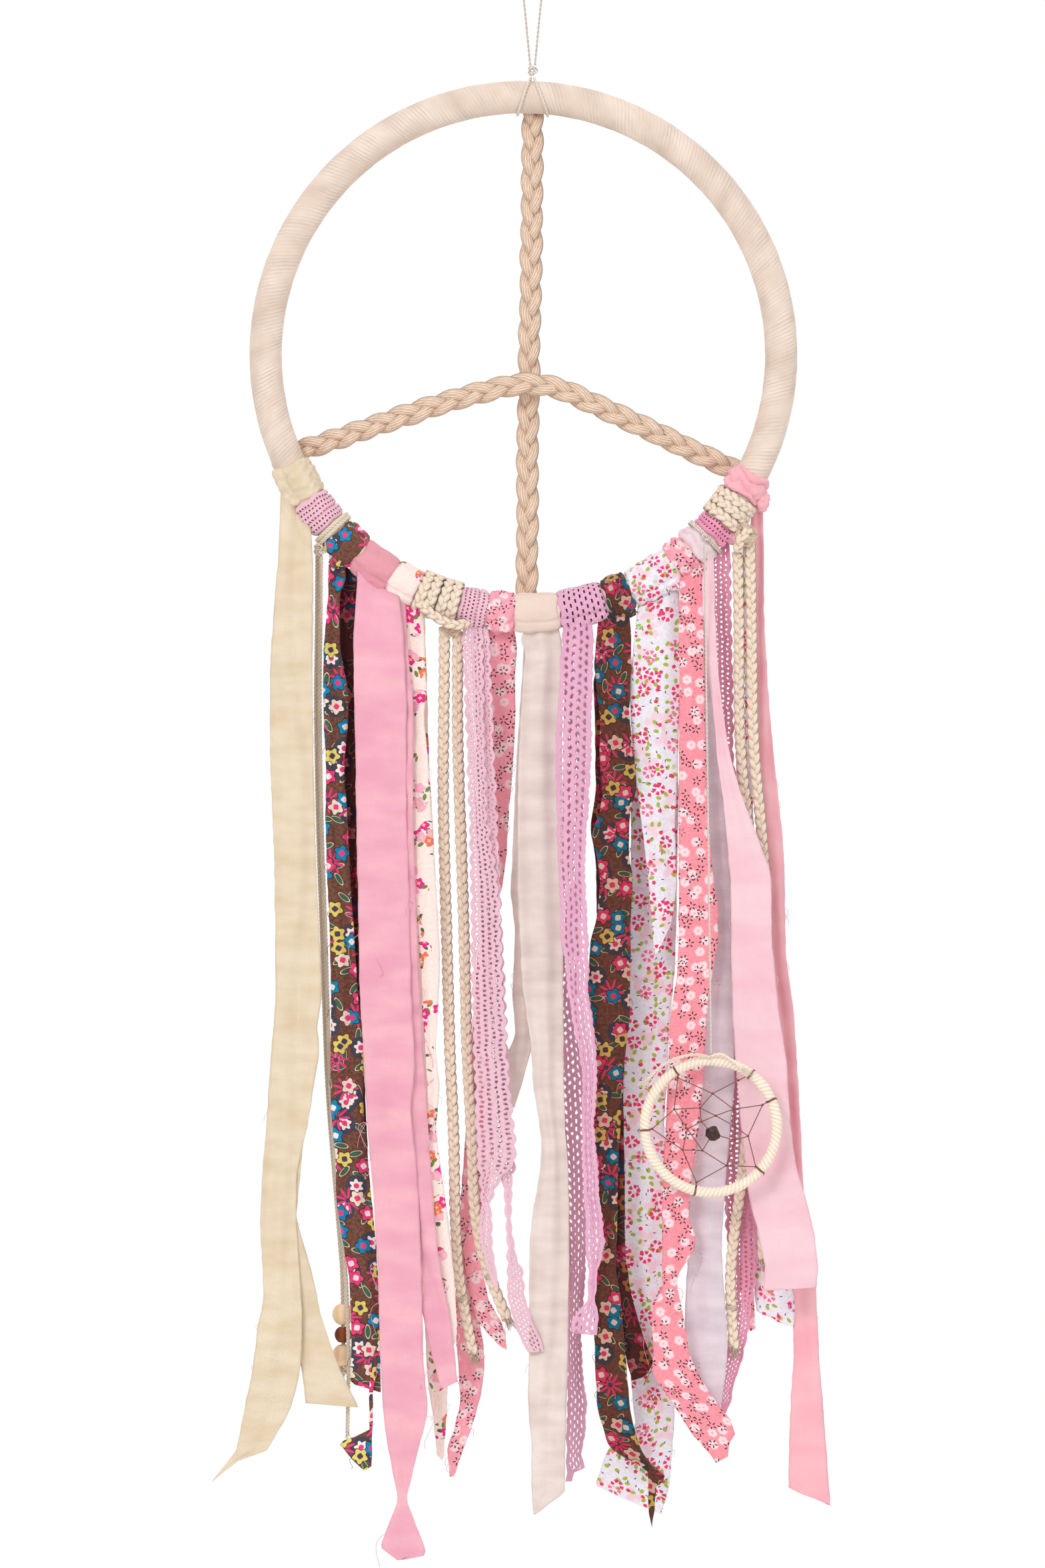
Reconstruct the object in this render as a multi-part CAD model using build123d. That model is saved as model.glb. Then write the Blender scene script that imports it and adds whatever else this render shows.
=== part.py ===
"""A hanging dream catcher: a taped hoop with a braided three-armed cross, knotted cloth strips, lace, braids,
a beaded cord and a small hoop charm.

Millimetres. +Z is up and +X is to the viewer's right; the front faces -Y. The origin is the inside of the top
of the hanging loop, where it rests on a hook.
"""
import os
from math import cos, pi, radians, sin, sqrt, tan

from build123d import *

# The big hoop
HOOP_X = -5.0
HOOP_Z = -200.0
HOOP_R = 141.0  # to the middle of the tube
CORE_R = 7.45
TAPE_IN = 7.5
TAPE_R = 9.0
WRAP_IN = 9.1
WRAP_R = 11.5
KNOT_GAP = 2.4  # from a wrap to the top edge of what hangs under it

# The hanger
LOOP_D = 1.4
HOOK_R = 4.3
KNOT_Z = -44.2
KNOT_R = 2.6
SLING_R = 11.3
SLING_D = 1.6
SLING_TILT = 19.6
SLING_X = 4.8

# Braids and cords
FRAME_BRAID_D = 12.5
TAIL_BRAID_D = 6.4
THIN_CORD_D = 2.4
CHARM_CORD_D = 1.3
FRAY = 0.45  # share of the shorter run that a bend may take

# Beads
BEAD_X = -103.9
BEAD_Y = 15.2
BIG_BEAD_D = 12.2
SMALL_BEAD_D = 9.6
BEAD_BORE_R = 1.7
BEAD_GAP = 0.3
TOP_BEAD_Z = -726.0
BEAD_KNOT_R = 2.0

# Cloth strips are flat plates, each in a layer of its own
CLOTH = 1.0
LAYER = {
    "f4": -17.5,
    "f3": -15.0,
    "f2": -12.5,
    "f1": -10.0,
    "f0": -7.5,
    "m0": -5.0,
    "b0": 5.0,
    "b1": 7.5,
    "b2": 10.0,
    "b3": 12.5,
    "b4": 15.0,
}

# The charm
CHARM_X = 96.7
CHARM_Y = -27.5
CHARM_Z = -620.6
CHARM_R = 35.75
CHARM_CORE_R = 2.0
CHARM_WRAP_R = 2.75
CHARM_CORD_TOP = (93.6, -15.2, -303.9)
CHARM_TIE_ANGLE = 44.9
CHARM_TIE_R = 12.4
CHARM_KNOT = (94.0, -13.8, -300.5)
CHARM_KNOT_R = 2.2
THREAD_D = 0.7
STONE = (1.0, -3.9)
STONE_R = 3.6

# Wraps along the lower arc: name, first and last angle in degrees from straight down, + to the right
WRAPS = [
    ("organza_left", -65.0, -56.1),
    ("lace_pink_left", -56.0, -48.6),
    ("twisted_cord", -48.5, -46.6),
    ("brown_left", -46.5, -39.6),
    ("solid_pink_left", -39.5, -30.6),
    ("rose_print", -30.5, -24.1),
    ("braid_left", -24.0, -14.8),
    ("lace_pink_mid", -14.7, -8.1),
    ("pink_print_left", -8.0, -2.1),
    ("organza_mid", -2.0, 7.9),
    ("lace_lilac", 8.0, 18.4),
    ("brown_right", 18.5, 24.4),
    ("white_floral", 24.5, 35.4),
    ("pink_print_right", 35.5, 40.4),
    ("sheer_right", 40.5, 44.2),
    ("lace_pink_right", 45.6, 49.4),
    ("braid_right", 49.5, 56.4),
    ("solid_pink_right", 56.5, 63.0),
]

# Tails of each strip: layer, left and right x at the knot, rows of (z, left x, right x), and the points of
# the cut end from left to right as (x, z)
TAILS = {
    "organza_left": [
        (
            "f2",
            (-133, -119),
            [(-320, -139.5, -119.5), (-370, -143, -120), (-420, -143, -119.5), (-480, -140.5, -118),
             (-550, -140, -114.5), (-567, -141, -117.5), (-580, -142.5, -116), (-620, -145, -122.5),
             (-645, -147, -128.5), (-672, -148.5, -129), (-715, -146.5, -126), (-728, -149.5, -125.5),
             (-754, -152.5, -126.5), (-775, -157, -131.5), (-798, -161.5, -145)],
            [(-175, -815), (-160, -803)],
        ),
        (
            "f1",
            (-131, -120),
            [(-340, -138, -121), (-450, -139, -121), (-560, -137, -120), (-620, -140, -124),
             (-672, -142, -129), (-700, -140, -120.5), (-727, -134, -115), (-753, -126, -105.5)],
            [(-123.5, -773), (-95, -774.5)],
        ),
    ],
    "brown_left": [
        (
            "m0",
            (-111.5, -101),
            [(-330, -111.5, -105.5), (-360, -114, -105.5), (-385, -114.3, -100.5), (-402, -114, -101),
             (-425, -112.7, -103), (-450, -113, -101.5), (-480, -112.3, -100), (-515, -110.8, -97.5),
             (-550, -110, -95.5), (-577, -110.2, -92), (-612, -110.2, -92.5), (-640, -107.5, -90),
             (-662, -107.2, -88), (-685, -103.5, -85.5), (-705, -100, -84.5), (-735, -98.8, -83.2)],
            [(-99.3, -762), (-83, -767)],
        ),
        (
            "b0",
            (-107, -94),
            [(-330, -107, -93), (-345, -106, -97), (-400, -106, -96), (-480, -105, -95.5),
             (-550, -104, -94), (-600, -103, -92), (-655, -100, -89.5), (-720, -95, -85.5)],
            [(-93, -748), (-86, -750)],
        ),
        (
            "f0",
            (-94, -90),
            [(-450, -91, -87), (-600, -86, -82), (-700, -81, -77), (-735, -83, -79.5),
             (-748, -87.5, -84), (-765, -89.3, -87), (-787, -89, -87.5)],
            [(-97, -791), (-106, -794), (-98, -804), (-92, -809.5), (-88, -808)],
        ),
    ],
    "solid_pink_left": [
        (
            "f4",
            (-94.5, -77),
            [(-335, -95.5, -74), (-350, -97.5, -70.5), (-390, -97, -68.5), (-450, -96, -68.8),
             (-500, -95, -67), (-550, -94, -66), (-588, -91.5, -64), (-612, -90.3, -66.5),
             (-650, -87.3, -62.5), (-700, -84, -60.5), (-745, -83, -59.5), (-776, -81.3, -57),
             (-792, -79.3, -61), (-824, -73, -69)],
            [(-83, -850), (-74, -857), (-60, -856), (-58, -852)],
        ),
        (
            "f3",
            (-86, -69),
            [(-350, -88, -69), (-390, -88, -65), (-450, -86, -65), (-540, -82, -62), (-600, -80, -58.5),
             (-650, -76, -55), (-690, -70, -51.5), (-706, -64, -48.8), (-725, -59.5, -45),
             (-745, -55, -42.5)],
            [(-50, -764), (-41, -760.5)],
        ),
    ],
    "rose_print": [
        (
            "f2",
            (-71, -62),
            [(-350, -71, -61.5), (-368, -70, -60), (-380, -70, -57.5), (-400, -70, -59.3),
             (-420, -70, -57), (-445, -70, -55), (-470, -68, -53.8), (-500, -64, -52),
             (-530, -61.5, -50.5), (-560, -60, -51.5), (-578, -58.5, -53), (-600, -57.5, -50.5),
             (-622, -57.5, -53), (-645, -56, -50), (-665, -55, -47), (-700, -50.5, -43),
             (-730, -47, -41)],
            [(-46, -742), (-42, -740)],
        ),
        (
            "b1",
            (-66, -59),
            [(-450, -64, -56), (-600, -62, -54), (-700, -60, -50), (-755, -58, -47),
             (-765, -57, -46.5), (-780, -54.5, -47), (-795, -53, -48.3)],
            [(-52.5, -803), (-49.5, -805.5), (-48.3, -803)],
        ),
    ],
    "lace_pink_mid": [
        (
            "f1",
            (-38, -27.5),
            [(-400, -36, -27), (-450, -34, -25.5), (-478, -33.5, -21), (-500, -33, -18),
             (-550, -32.5, -16), (-580, -32, -14.5), (-605, -31, -12), (-640, -30, -9),
             (-650, -28.5, -17.5), (-662, -28, -23.5), (-680, -29, -22.5), (-700, -25, -20)],
            [(-20.5, -709.5), (-18.7, -709)],
        ),
        (
            "f0",
            (-32, -24),
            [(-450, -30, -20), (-600, -26, -13), (-640, -22, -9.5), (-652, -15.5, -11.5),
             (-672, -14.3, -11.8), (-690, -13.5, -10), (-702, -13.5, -5.5), (-715, -13.3, -4.3),
             (-727, -10, -0.5), (-736, -7, 4)],
            [(-2, -745), (6.5, -744.5)],
        ),
    ],
    "pink_print_left": [
        (
            "b2",
            (-22.5, -9),
            [(-362, -27.5, -8.5), (-372, -27.5, -9.5), (-400, -26.5, -9.5), (-420, -26.5, -10.5),
             (-450, -26, -13), (-475, -26, -14.5), (-490, -25, -16.3), (-500, -26, -19.5),
             (-550, -30, -22), (-600, -31, -22), (-650, -31, -23), (-672, -34, -26),
             (-690, -38, -30), (-705, -36, -27), (-718, -34, -24), (-730, -30, -17)],
            [(-20, -741), (-18, -743.5), (-14, -745), (-15, -736)],
        ),
        (
            "b3",
            (-20, -11),
            [(-450, -25, -15), (-600, -35, -25), (-700, -42, -33), (-725, -42.5, -30),
             (-745, -41.5, -26.5), (-758, -40.5, -26.5), (-775, -39.5, -29.5), (-790, -43.5, -34),
             (-800, -47, -38)],
            [(-45.5, -815), (-43, -815)],
        ),
    ],
    "organza_mid": [
        (
            "m0",
            (-7, 15.5),
            [(-362, -3.5, 16), (-380, -5.5, 16), (-430, -8, 16), (-495, -8, 16.5), (-540, -6, 16.5),
             (-580, -0.5, 17), (-600, 0.5, 17), (-628, 5, 18), (-645, 4.5, 19.5), (-670, 0, 20),
             (-685, -1.5, 20), (-745, -2, 19.3), (-775, -2.5, 18.5), (-792, -0.8, 18),
             (-821, -0.5, 17.5)],
            [(0.5, -834), (4, -832), (10, -827), (15, -823.5)],
        ),
        (
            "b0",
            (-4, 10),
            [(-362, -3.8, 11), (-380, -6, 11), (-430, -9.2, 10), (-495, -12, 8), (-515, -9.5, 8),
             (-550, -11, 5), (-573, -9.3, 1), (-583, -14, -1.5), (-600, -14, -6.2)],
            [(-13, -612), (-9.8, -612)],
        ),
    ],
    "lace_lilac": [
        (
            "f4",
            (16.5, 33),
            [(-380, 15, 32.3), (-410, 12.7, 32), (-440, 13, 30.5), (-480, 14.3, 28.3), (-520, 16, 30),
             (-550, 19.5, 30), (-570, 23, 33.5), (-590, 27.5, 35.2), (-620, 27, 33), (-655, 28.3, 36),
             (-685, 28.5, 39), (-700, 30.5, 35), (-716, 30, 34), (-726, 22, 36.5)],
            [(20.5, -733), (35, -734.5)],
        ),
        (
            "b4",
            (18, 31),
            [(-450, 17, 28), (-520, 15, 26), (-555, 11.7, 24), (-600, 15, 29), (-650, 18, 30),
             (-700, 20, 29), (-740, 19, 26.5), (-760, 19.5, 27.5), (-775, 19.5, 29.5),
             (-790, 18.5, 29), (-803, 19, 26.8)],
            [(18.5, -818), (21.8, -818), (23, -813), (29, -810.5)],
        ),
    ],
    "brown_right": [
        (
            "f2",
            (35.5, 53.5),
            [(-370, 33.5, 54), (-382, 35, 53), (-400, 36.8, 52.7), (-420, 36.5, 55.5),
             (-438, 38, 56.7), (-450, 37, 53), (-461, 31.5, 52.5), (-473, 35, 52.5), (-487, 37, 54.5),
             (-508, 35, 53.3), (-520, 31.5, 53.5), (-545, 30, 53.2), (-562, 31, 53), (-580, 35, 50.5),
             (-600, 33.3, 49.2), (-620, 32.5, 48), (-645, 34.5, 46.5), (-680, 38.5, 46),
             (-700, 34, 45), (-712, 33, 47.5), (-745, 33.8, 50.7), (-775, 35.3, 52.8),
             (-797, 41.8, 58.5)],
            [(48, -801), (62.8, -807.5), (63.2, -832), (65, -840), (66.5, -829), (67.3, -817),
             (71.5, -815), (72.3, -811), (68.5, -808), (63.5, -804.5)],
        ),
        (
            "f1",
            (40, 53),
            [(-380, 33, 51), (-400, 34, 50), (-440, 34.5, 50), (-458, 31.3, 50), (-475, 34.5, 50),
             (-560, 36, 49), (-640, 40, 50), (-690, 40, 50.5), (-712, 44, 53.5), (-735, 48, 60),
             (-750, 51.5, 66)],
            [(54.5, -760), (62, -757.5)],
        ),
    ],
    "white_floral": [
        (
            "f0",
            (57.5, 78.5),
            [(-360, 55, 82), (-380, 53, 81), (-400, 53.5, 80), (-430, 56, 79), (-460, 60, 77.5),
             (-490, 63.5, 79), (-510, 65, 76)],
            [(66.5, -528), (69, -526)],
        ),
        (
            "b1",
            (60, 77),
            [(-440, 54, 80), (-500, 54, 79), (-535, 53, 78), (-565, 52.3, 75), (-590, 50.3, 74),
             (-620, 48.7, 72), (-650, 50, 74), (-700, 50, 72), (-735, 52, 73), (-760, 54, 71),
             (-773, 55, 78), (-790, 57, 77.3)],
            [(42, -797), (34.3, -819), (48, -825.5), (63, -832), (70.5, -835), (75, -820)],
        ),
    ],
    "pink_print_right": [
        (
            "f3",
            (80.5, 89.5),
            [(-345, 80, 90.5), (-378, 80.5, 91), (-440, 80, 92), (-480, 80, 95), (-500, 80, 98),
             (-520, 80, 98.5), (-540, 79, 95), (-562, 75, 92), (-590, 74.5, 91), (-620, 73, 88),
             (-650, 71, 84), (-670, 71, 82), (-682, 71, 86.5), (-690, 71, 85), (-700, 71, 77),
             (-710, 71, 76), (-722, 65, 79), (-745, 66.5, 82.5), (-756, 65, 88), (-770, 75, 97.5),
             (-781, 82, 107), (-789, 87, 109.3)],
            [(97, -800), (100, -804.5), (106, -801), (106.5, -794)],
        ),
    ],
    "sheer_right": [
        (
            "f2",
            (94, 99),
            [(-340, 94, 99), (-370, 96, 100.5), (-400, 100, 104), (-420, 102, 107.5),
             (-440, 105, 113), (-460, 107, 121), (-480, 108.7, 128.5), (-490, 109.5, 130),
             (-520, 109.7, 130), (-560, 110.5, 134), (-585, 112, 138), (-620, 115, 140),
             (-645, 118, 143.5), (-660, 119, 148.5), (-680, 124, 153.5), (-698, 127, 155.5)],
            [(125.5, -711), (154.8, -709)],
        ),
        (
            "m0",
            (88.5, 96),
            [(-350, 88, 98), (-400, 88, 101), (-450, 91, 105), (-500, 93, 109), (-550, 95, 110),
             (-600, 92, 110), (-640, 88, 106), (-680, 86, 103), (-700, 86, 103.5), (-720, 85, 105),
             (-742, 83.5, 106.5), (-758, 84, 105), (-772, 85, 103.5)],
            [(87, -780), (100, -782)],
        ),
    ],
    "lace_pink_right": [
        (
            "b0",
            (99.5, 107.5),
            [(-340, 100, 108.5), (-380, 101, 109.5), (-415, 102, 109.5), (-430, 104, 111),
             (-500, 108, 119), (-600, 112, 121), (-640, 110.5, 121), (-660, 109.5, 122),
             (-690, 112, 123), (-705, 113.5, 122.5), (-722, 114.5, 119.5), (-740, 110.5, 117),
             (-752, 107.5, 114), (-762, 104.5, 110.5), (-775, 103.5, 108)],
            [(102.5, -780), (106.5, -779)],
        ),
    ],
    "solid_pink_right": [
        (
            "b3",
            (119.5, 126),
            [(-310, 119.5, 127), (-340, 120, 127), (-380, 121, 129), (-420, 122, 132.5),
             (-460, 124, 137), (-480, 126, 138.3), (-530, 130, 139), (-560, 133, 143.5),
             (-620, 138, 147), (-660, 140, 148.8), (-680, 141, 153.5), (-700, 142, 155),
             (-750, 143.5, 157.3), (-770, 142, 159), (-800, 140.8, 161.3)],
            [(140.5, -821), (149, -825), (155, -827), (163.5, -831)],
        ),
    ],
    "offcut": [
        (
            "b2",
            (115, 118.5),
            [(-450, 117.5, 121), (-600, 120.5, 126), (-690, 121.7, 133), (-706, 121.7, 140),
             (-714, 121.7, 143)],
            [(123, -725), (130, -726.5), (137, -731.5), (143, -732), (144, -721)],
        ),
        (
            "b2",
            (110.5, 114),
            [(-450, 112, 116.5), (-600, 114, 119.5), (-690, 114, 121), (-710, 113.5, 121.2)],
            [(117, -724), (119, -735), (122.3, -734)],
        ),
    ],
}

# Routes of what hangs in round lengths, from the knot down: (x, y, z)
BRAID_TAILS = {
    "braid_left_tail_a": [
        (-48.2, 0.4, -349.5), (-48.6, 0.0, -395), (-49.2, -0.4, -438), (-48.0, 0.2, -486),
        (-46.6, 0.4, -535), (-45.3, -0.2, -584), (-43.0, -0.4, -628), (-42.6, 0.2, -672),
        (-40.2, 0.4, -712), (-32.5, -0.2, -746),
    ],
    "braid_left_tail_b": [
        (-40.9, -0.3, -352), (-41.4, 0.2, -396), (-40.2, 0.4, -440), (-38.4, -0.2, -488),
        (-37.0, 0.2, -536), (-36.0, 0.4, -584), (-33.2, -0.3, -628), (-32.4, 0.2, -668),
        (-26.0, 0.3, -700), (-14.0, -0.2, -727),
    ],
    "braid_right_tail_a": [
        (112.2, 0.3, -308.5), (113.0, -0.2, -345), (112.7, 0.3, -384), (113.6, 0.1, -420),
        (118.0, -0.4, -456), (120.6, 0.2, -500), (121.4, 0.4, -552), (119.4, -0.2, -604),
        (114.5, 0.3, -652), (108.6, 0.2, -692), (108.0, -0.3, -718), (110.2, 0.2, -743),
    ],
    "braid_right_tail_b": [
        (118.9, 0.0, -303), (119.8, 0.4, -344), (119.9, -0.2, -384), (121.0, 0.3, -420),
        (125.2, 0.2, -458), (128.0, -0.4, -504), (128.6, 0.2, -556), (127.0, 0.4, -608),
        (125.0, -0.2, -652), (126.2, 0.2, -694),
    ],
}
THIN_CORD = [
    (-115.6, -2.2, -310), (-115.9, -2.4, -348), (-116.5, -2.0, -388), (-115.9, -2.2, -428),
    (-115.1, -2.5, -468), (-113.3, -2.1, -512), (-112.0, -2.3, -556), (-110.9, -2.0, -600),
    (-108.0, -2.4, -642), (-103.4, -2.1, -682), (-101.2, -2.3, -720), (-100.3, -2.0, -756),
    (-101.2, -2.2, -789),
]
BEAD_CORD = [
    (-118.2, 15.2, -307.5), (-118.4, 15.0, -348), (-119.1, 15.3, -388), (-118.5, 15.2, -428),
    (-117.6, 14.9, -468), (-115.9, 15.3, -512), (-114.5, 15.1, -556), (-113.0, 15.3, -600),
    (-109.6, 15.0, -642), (-106.4, 15.3, -680), (BEAD_X, BEAD_Y, -710), (BEAD_X, BEAD_Y, -756.5),
]
VERTICAL_BRAID = [
    (0, 6.6, -71.5), (-0.6, 6.4, -140), (-2.4, 6.6, -215), (-3.0, 9.0, -290), (-3.2, 18.4, -343),
]
CROSS_BRAID = [
    (-142, 18.2, -256), (-116, 10.5, -248.5), (-84, -1.5, -238), (-42, -6.6, -224.5),
    (1.5, -6.5, -213.2), (36, -6.6, -228), (70, 2.0, -244), (97, 13.5, -256), (124, 20.5, -268),
]

# The charm's web: points from the middle of its ring as (x, z), and the threads between them
WEB_POINTS = {
    "ring_a": (-18.9, 30.2), "ring_b": (21.7, 28.3), "ring_c": (31.6, 13.8), "ring_d": (27.6, -24.6),
    "ring_e": (-8.5, -34.2), "ring_f": (-35.2, -1.7),
    "a": (-17.9, 26.4), "b": (15.0, 25.1), "c": (28.0, 11.7), "d": (24.4, -21.8), "e": (-7.8, -30.3),
    "f": (-31.9, -1.3),
    "n1": (1.0, 17.9), "n2": (12.4, 9.4), "n3": (20.2, -5.2), "n4": (8.5, -21.2), "n5": (-15.3, -12.7),
    "n6": (-19.9, 9.4),
    "m1": (-5.9, 10.1), "m2": (2.6, 5.9), "m3": (13.3, 0.0), "m4": (13.0, -7.5), "m5": (-4.6, -13.0),
    "m6": (-12.7, -1.3), "hub": (-5.2, 2.6), "stone": STONE,
}
THREADS = [
    "ring_a a n1 b ring_b", "a n6 f ring_f", "n1 m1 n6", "n1 n2 c ring_c", "c n3 d ring_d", "d n4 e ring_e",
    "e n5 f", "n3 m3 m2 m1 hub", "m2 n2 m3 m4 n4", "n3 m4", "n4 m5 n5", "n6 m6 n5", "m6 m5",
    "m6 hub m2", "hub stone m4", "stone m5",
]


def save(shape, node):
    export_step(shape, f"parts/{node}.step")


def hoop_plane(angle):
    """The tube's cross-section plane at an angle from straight down, its x away from the hoop's middle."""
    a = radians(angle)
    middle = (HOOP_X + HOOP_R * sin(a), 0, HOOP_Z - HOOP_R * cos(a))
    return Plane(origin=middle, x_dir=(sin(a), 0, -cos(a)), z_dir=(cos(a), 0, sin(a)))


def torus(x, y, z, turn, ring_r, tube_r):
    return Pos(x, y, z) * Rot(*turn) * Torus(ring_r, tube_r)


def under_wrap(x):
    """Height of a strip's top edge at x, just outside the wraps."""
    r = HOOP_R + WRAP_R + KNOT_GAP
    return HOOP_Z - sqrt(r * r - (x - HOOP_X) ** 2)


def sleeve(first, last, inner, outer):
    """A cloth sleeve round the tube between two angles."""
    section = hoop_plane(first) * (Circle(outer) - Circle(inner))
    axis = Axis((HOOP_X, 0, HOOP_Z), (0, -1, 0))
    return revolve(section, axis, revolution_arc=last - first)


def plate(layer, knot, rows, end):
    """One hanging tail: its outline in a vertical plane, one cloth thickness deep."""
    left = [(knot[0], under_wrap(knot[0]))] + [(l, z) for z, l, _ in rows]
    right = [(knot[1], under_wrap(knot[1]))] + [(r, z) for z, _, r in rows]
    outline = Polyline(*left, *end, *reversed(right), close=True)
    front = Plane(origin=(0, LAYER[layer] + CLOTH / 2, 0), x_dir=(1, 0, 0), z_dir=(0, -1, 0))
    return extrude(front * make_face(outline), CLOTH)


def bend_radii(points):
    """One radius for each inner point, as large as the two runs beside it allow."""
    radii = []
    for a, b, c in zip(points, points[1:], points[2:]):
        before = Vector(*b) - Vector(*a)
        after = Vector(*c) - Vector(*b)
        turn = radians(before.get_angle(after))
        radii.append(FRAY * min(before.length, after.length) / tan(turn / 2))
    return radii


def tube(points, diameter, name):
    """A round cord along straight runs joined by tangent arcs."""
    radii = bend_radii(points)
    path = FilletPolyline(*points, radius=radii)
    made = sweep((path ^ 0) * Circle(diameter / 2), path=path)
    expected = pi * diameter**2 / 4 * path.length
    print(f"{name}: length {path.length:.1f}, radii {min(radii):.0f}..{max(radii):.0f},", end=" ")
    print(f"volume {made.volume:.0f} of {expected:.0f}")
    return made


def straight_tube(start, end, diameter):
    line = Line(start, end)
    return sweep((line ^ 0) * Circle(diameter / 2), path=line)


def hanger():
    top = LOOP_D / 2
    reach = HOOK_R + LOOP_D / 2
    leg_end = KNOT_Z + KNOT_R + 0.2
    points = [(-1.3, 0, leg_end), (-reach, 0, top), (reach, 0, top), (1.3, 0, leg_end)]
    path = FilletPolyline(*points, radius=HOOK_R)
    loop = sweep((path ^ 0) * Circle(LOOP_D / 2), path=path)
    save(loop, "hanger_loop")
    save(Pos(0, 0, KNOT_Z) * Sphere(KNOT_R), "hanger_knot")
    slings = []
    for side in (-1, 1):
        x = side * SLING_X
        tube_z = HOOP_Z + sqrt(HOOP_R**2 - (x - HOOP_X) ** 2)
        slings.append(torus(x, 0, tube_z, (0, 90 - side * SLING_TILT, 0), SLING_R, SLING_D / 2))
    save(Compound(children=slings), "hoop_sling")


def hoop():
    flat = (90, 0, 0)
    save(torus(HOOP_X, 0, HOOP_Z, flat, HOOP_R, CORE_R), "hoop_core")
    outer = torus(HOOP_X, 0, HOOP_Z, flat, HOOP_R, TAPE_R)
    inner = torus(HOOP_X, 0, HOOP_Z, flat, HOOP_R, TAPE_IN)
    save(outer - inner, "hoop_tape")
    for name, first, last in WRAPS:
        save(sleeve(first, last, WRAP_IN, WRAP_R), f"{name}_wrap")
    tie = sleeve(CHARM_TIE_ANGLE - 0.3, CHARM_TIE_ANGLE + 0.3, WRAP_IN, CHARM_TIE_R)
    save(tie + Pos(*CHARM_KNOT) * Sphere(CHARM_KNOT_R), "charm_tie")


def frame_braids():
    save(tube(VERTICAL_BRAID, FRAME_BRAID_D, "vertical_braid"), "vertical_braid")
    save(tube(CROSS_BRAID, FRAME_BRAID_D, "cross_braid"), "cross_braid")


def cloth_tails():
    for name, tails in TAILS.items():
        plates = [plate(*tail) for tail in tails]
        save(Compound(children=plates), f"{name}_tails")


def cords():
    for name, route in BRAID_TAILS.items():
        save(tube(route, TAIL_BRAID_D, name), name)
    save(tube(THIN_CORD, THIN_CORD_D, "thin_cord"), "thin_cord")
    save(tube(BEAD_CORD, THIN_CORD_D, "bead_cord"), "bead_cord")


def beads():
    middle = TOP_BEAD_Z
    apart = (BIG_BEAD_D + SMALL_BEAD_D) / 2 + BEAD_GAP
    for node, diameter in (
        ("bead_top", BIG_BEAD_D),
        ("bead_middle", SMALL_BEAD_D),
        ("bead_bottom", BIG_BEAD_D),
    ):
        ball = Sphere(diameter / 2) - Cylinder(BEAD_BORE_R, 2 * diameter)
        save(Pos(BEAD_X, BEAD_Y, middle) * ball, node)
        middle -= apart
    save(Pos(BEAD_X, BEAD_Y, BEAD_CORD[-1][2] - BEAD_KNOT_R) * Sphere(BEAD_KNOT_R), "bead_knot")


def charm():
    flat = (90, 0, 0)
    ring = torus(CHARM_X, CHARM_Y, CHARM_Z, flat, CHARM_R, CHARM_CORE_R)
    save(ring, "charm_ring")
    outer = torus(CHARM_X, CHARM_Y, CHARM_Z, flat, CHARM_R, CHARM_WRAP_R)
    inner = torus(CHARM_X, CHARM_Y, CHARM_Z, flat, CHARM_R, CHARM_CORE_R + 0.05)
    save(outer - inner, "charm_ring_wrap")
    cord_end = (CHARM_X, CHARM_Y, CHARM_Z + CHARM_R + CHARM_WRAP_R + CHARM_CORD_D / 2 + 0.3)
    save(straight_tube(CHARM_CORD_TOP, cord_end, CHARM_CORD_D), "charm_cord")

    def at(name):
        x, z = WEB_POINTS[name]
        return Vector(CHARM_X + x, CHARM_Y, CHARM_Z + z)

    stone = Pos(*at("stone")) * Rot(20, 35, 0) * Box(1.5 * STONE_R, 1.4 * STONE_R, 1.7 * STONE_R)
    stone = chamfer(stone.edges(), STONE_R / 3)
    parts = [Pos(*at(name)) * Sphere(0.55 * THREAD_D) for name in WEB_POINTS if name != "stone"]
    for thread in THREADS:
        names = thread.split()
        for a, b in zip(names, names[1:]):
            parts.append(straight_tube(at(a), at(b), THREAD_D))
    web = parts[0].fuse(*parts[1:]) - stone - outer
    save(web, "charm_web")
    save(stone, "charm_stone")


os.makedirs("parts", exist_ok=True)
hanger()
hoop()
frame_braids()
cloth_tails()
cords()
beads()
charm()
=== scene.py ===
from math import cos, pi, radians, sin, sqrt

import bmesh
import bpy
import numpy as np
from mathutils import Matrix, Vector, noise


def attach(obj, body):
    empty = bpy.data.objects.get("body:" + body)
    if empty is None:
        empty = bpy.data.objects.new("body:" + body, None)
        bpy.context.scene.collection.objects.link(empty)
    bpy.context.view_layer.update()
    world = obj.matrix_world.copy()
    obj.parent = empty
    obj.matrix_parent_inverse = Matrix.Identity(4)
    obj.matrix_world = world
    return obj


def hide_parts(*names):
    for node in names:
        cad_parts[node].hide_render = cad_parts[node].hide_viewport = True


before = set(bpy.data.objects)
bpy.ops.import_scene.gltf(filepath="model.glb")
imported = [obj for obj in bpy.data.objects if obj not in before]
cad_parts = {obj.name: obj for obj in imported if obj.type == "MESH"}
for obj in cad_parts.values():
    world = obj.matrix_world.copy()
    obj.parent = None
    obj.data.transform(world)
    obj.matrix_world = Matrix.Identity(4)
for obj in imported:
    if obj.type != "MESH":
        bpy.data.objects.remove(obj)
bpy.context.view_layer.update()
scene = bpy.context.scene

MM = 0.001  # every length below is in millimetres until a mesh is made

# The camera, in metres: square to the object's front, level with its middle
CAMERA_PLACE = (-0.0055, -3.5, -0.4347)
CAMERA_LENS = 146.9
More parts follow.
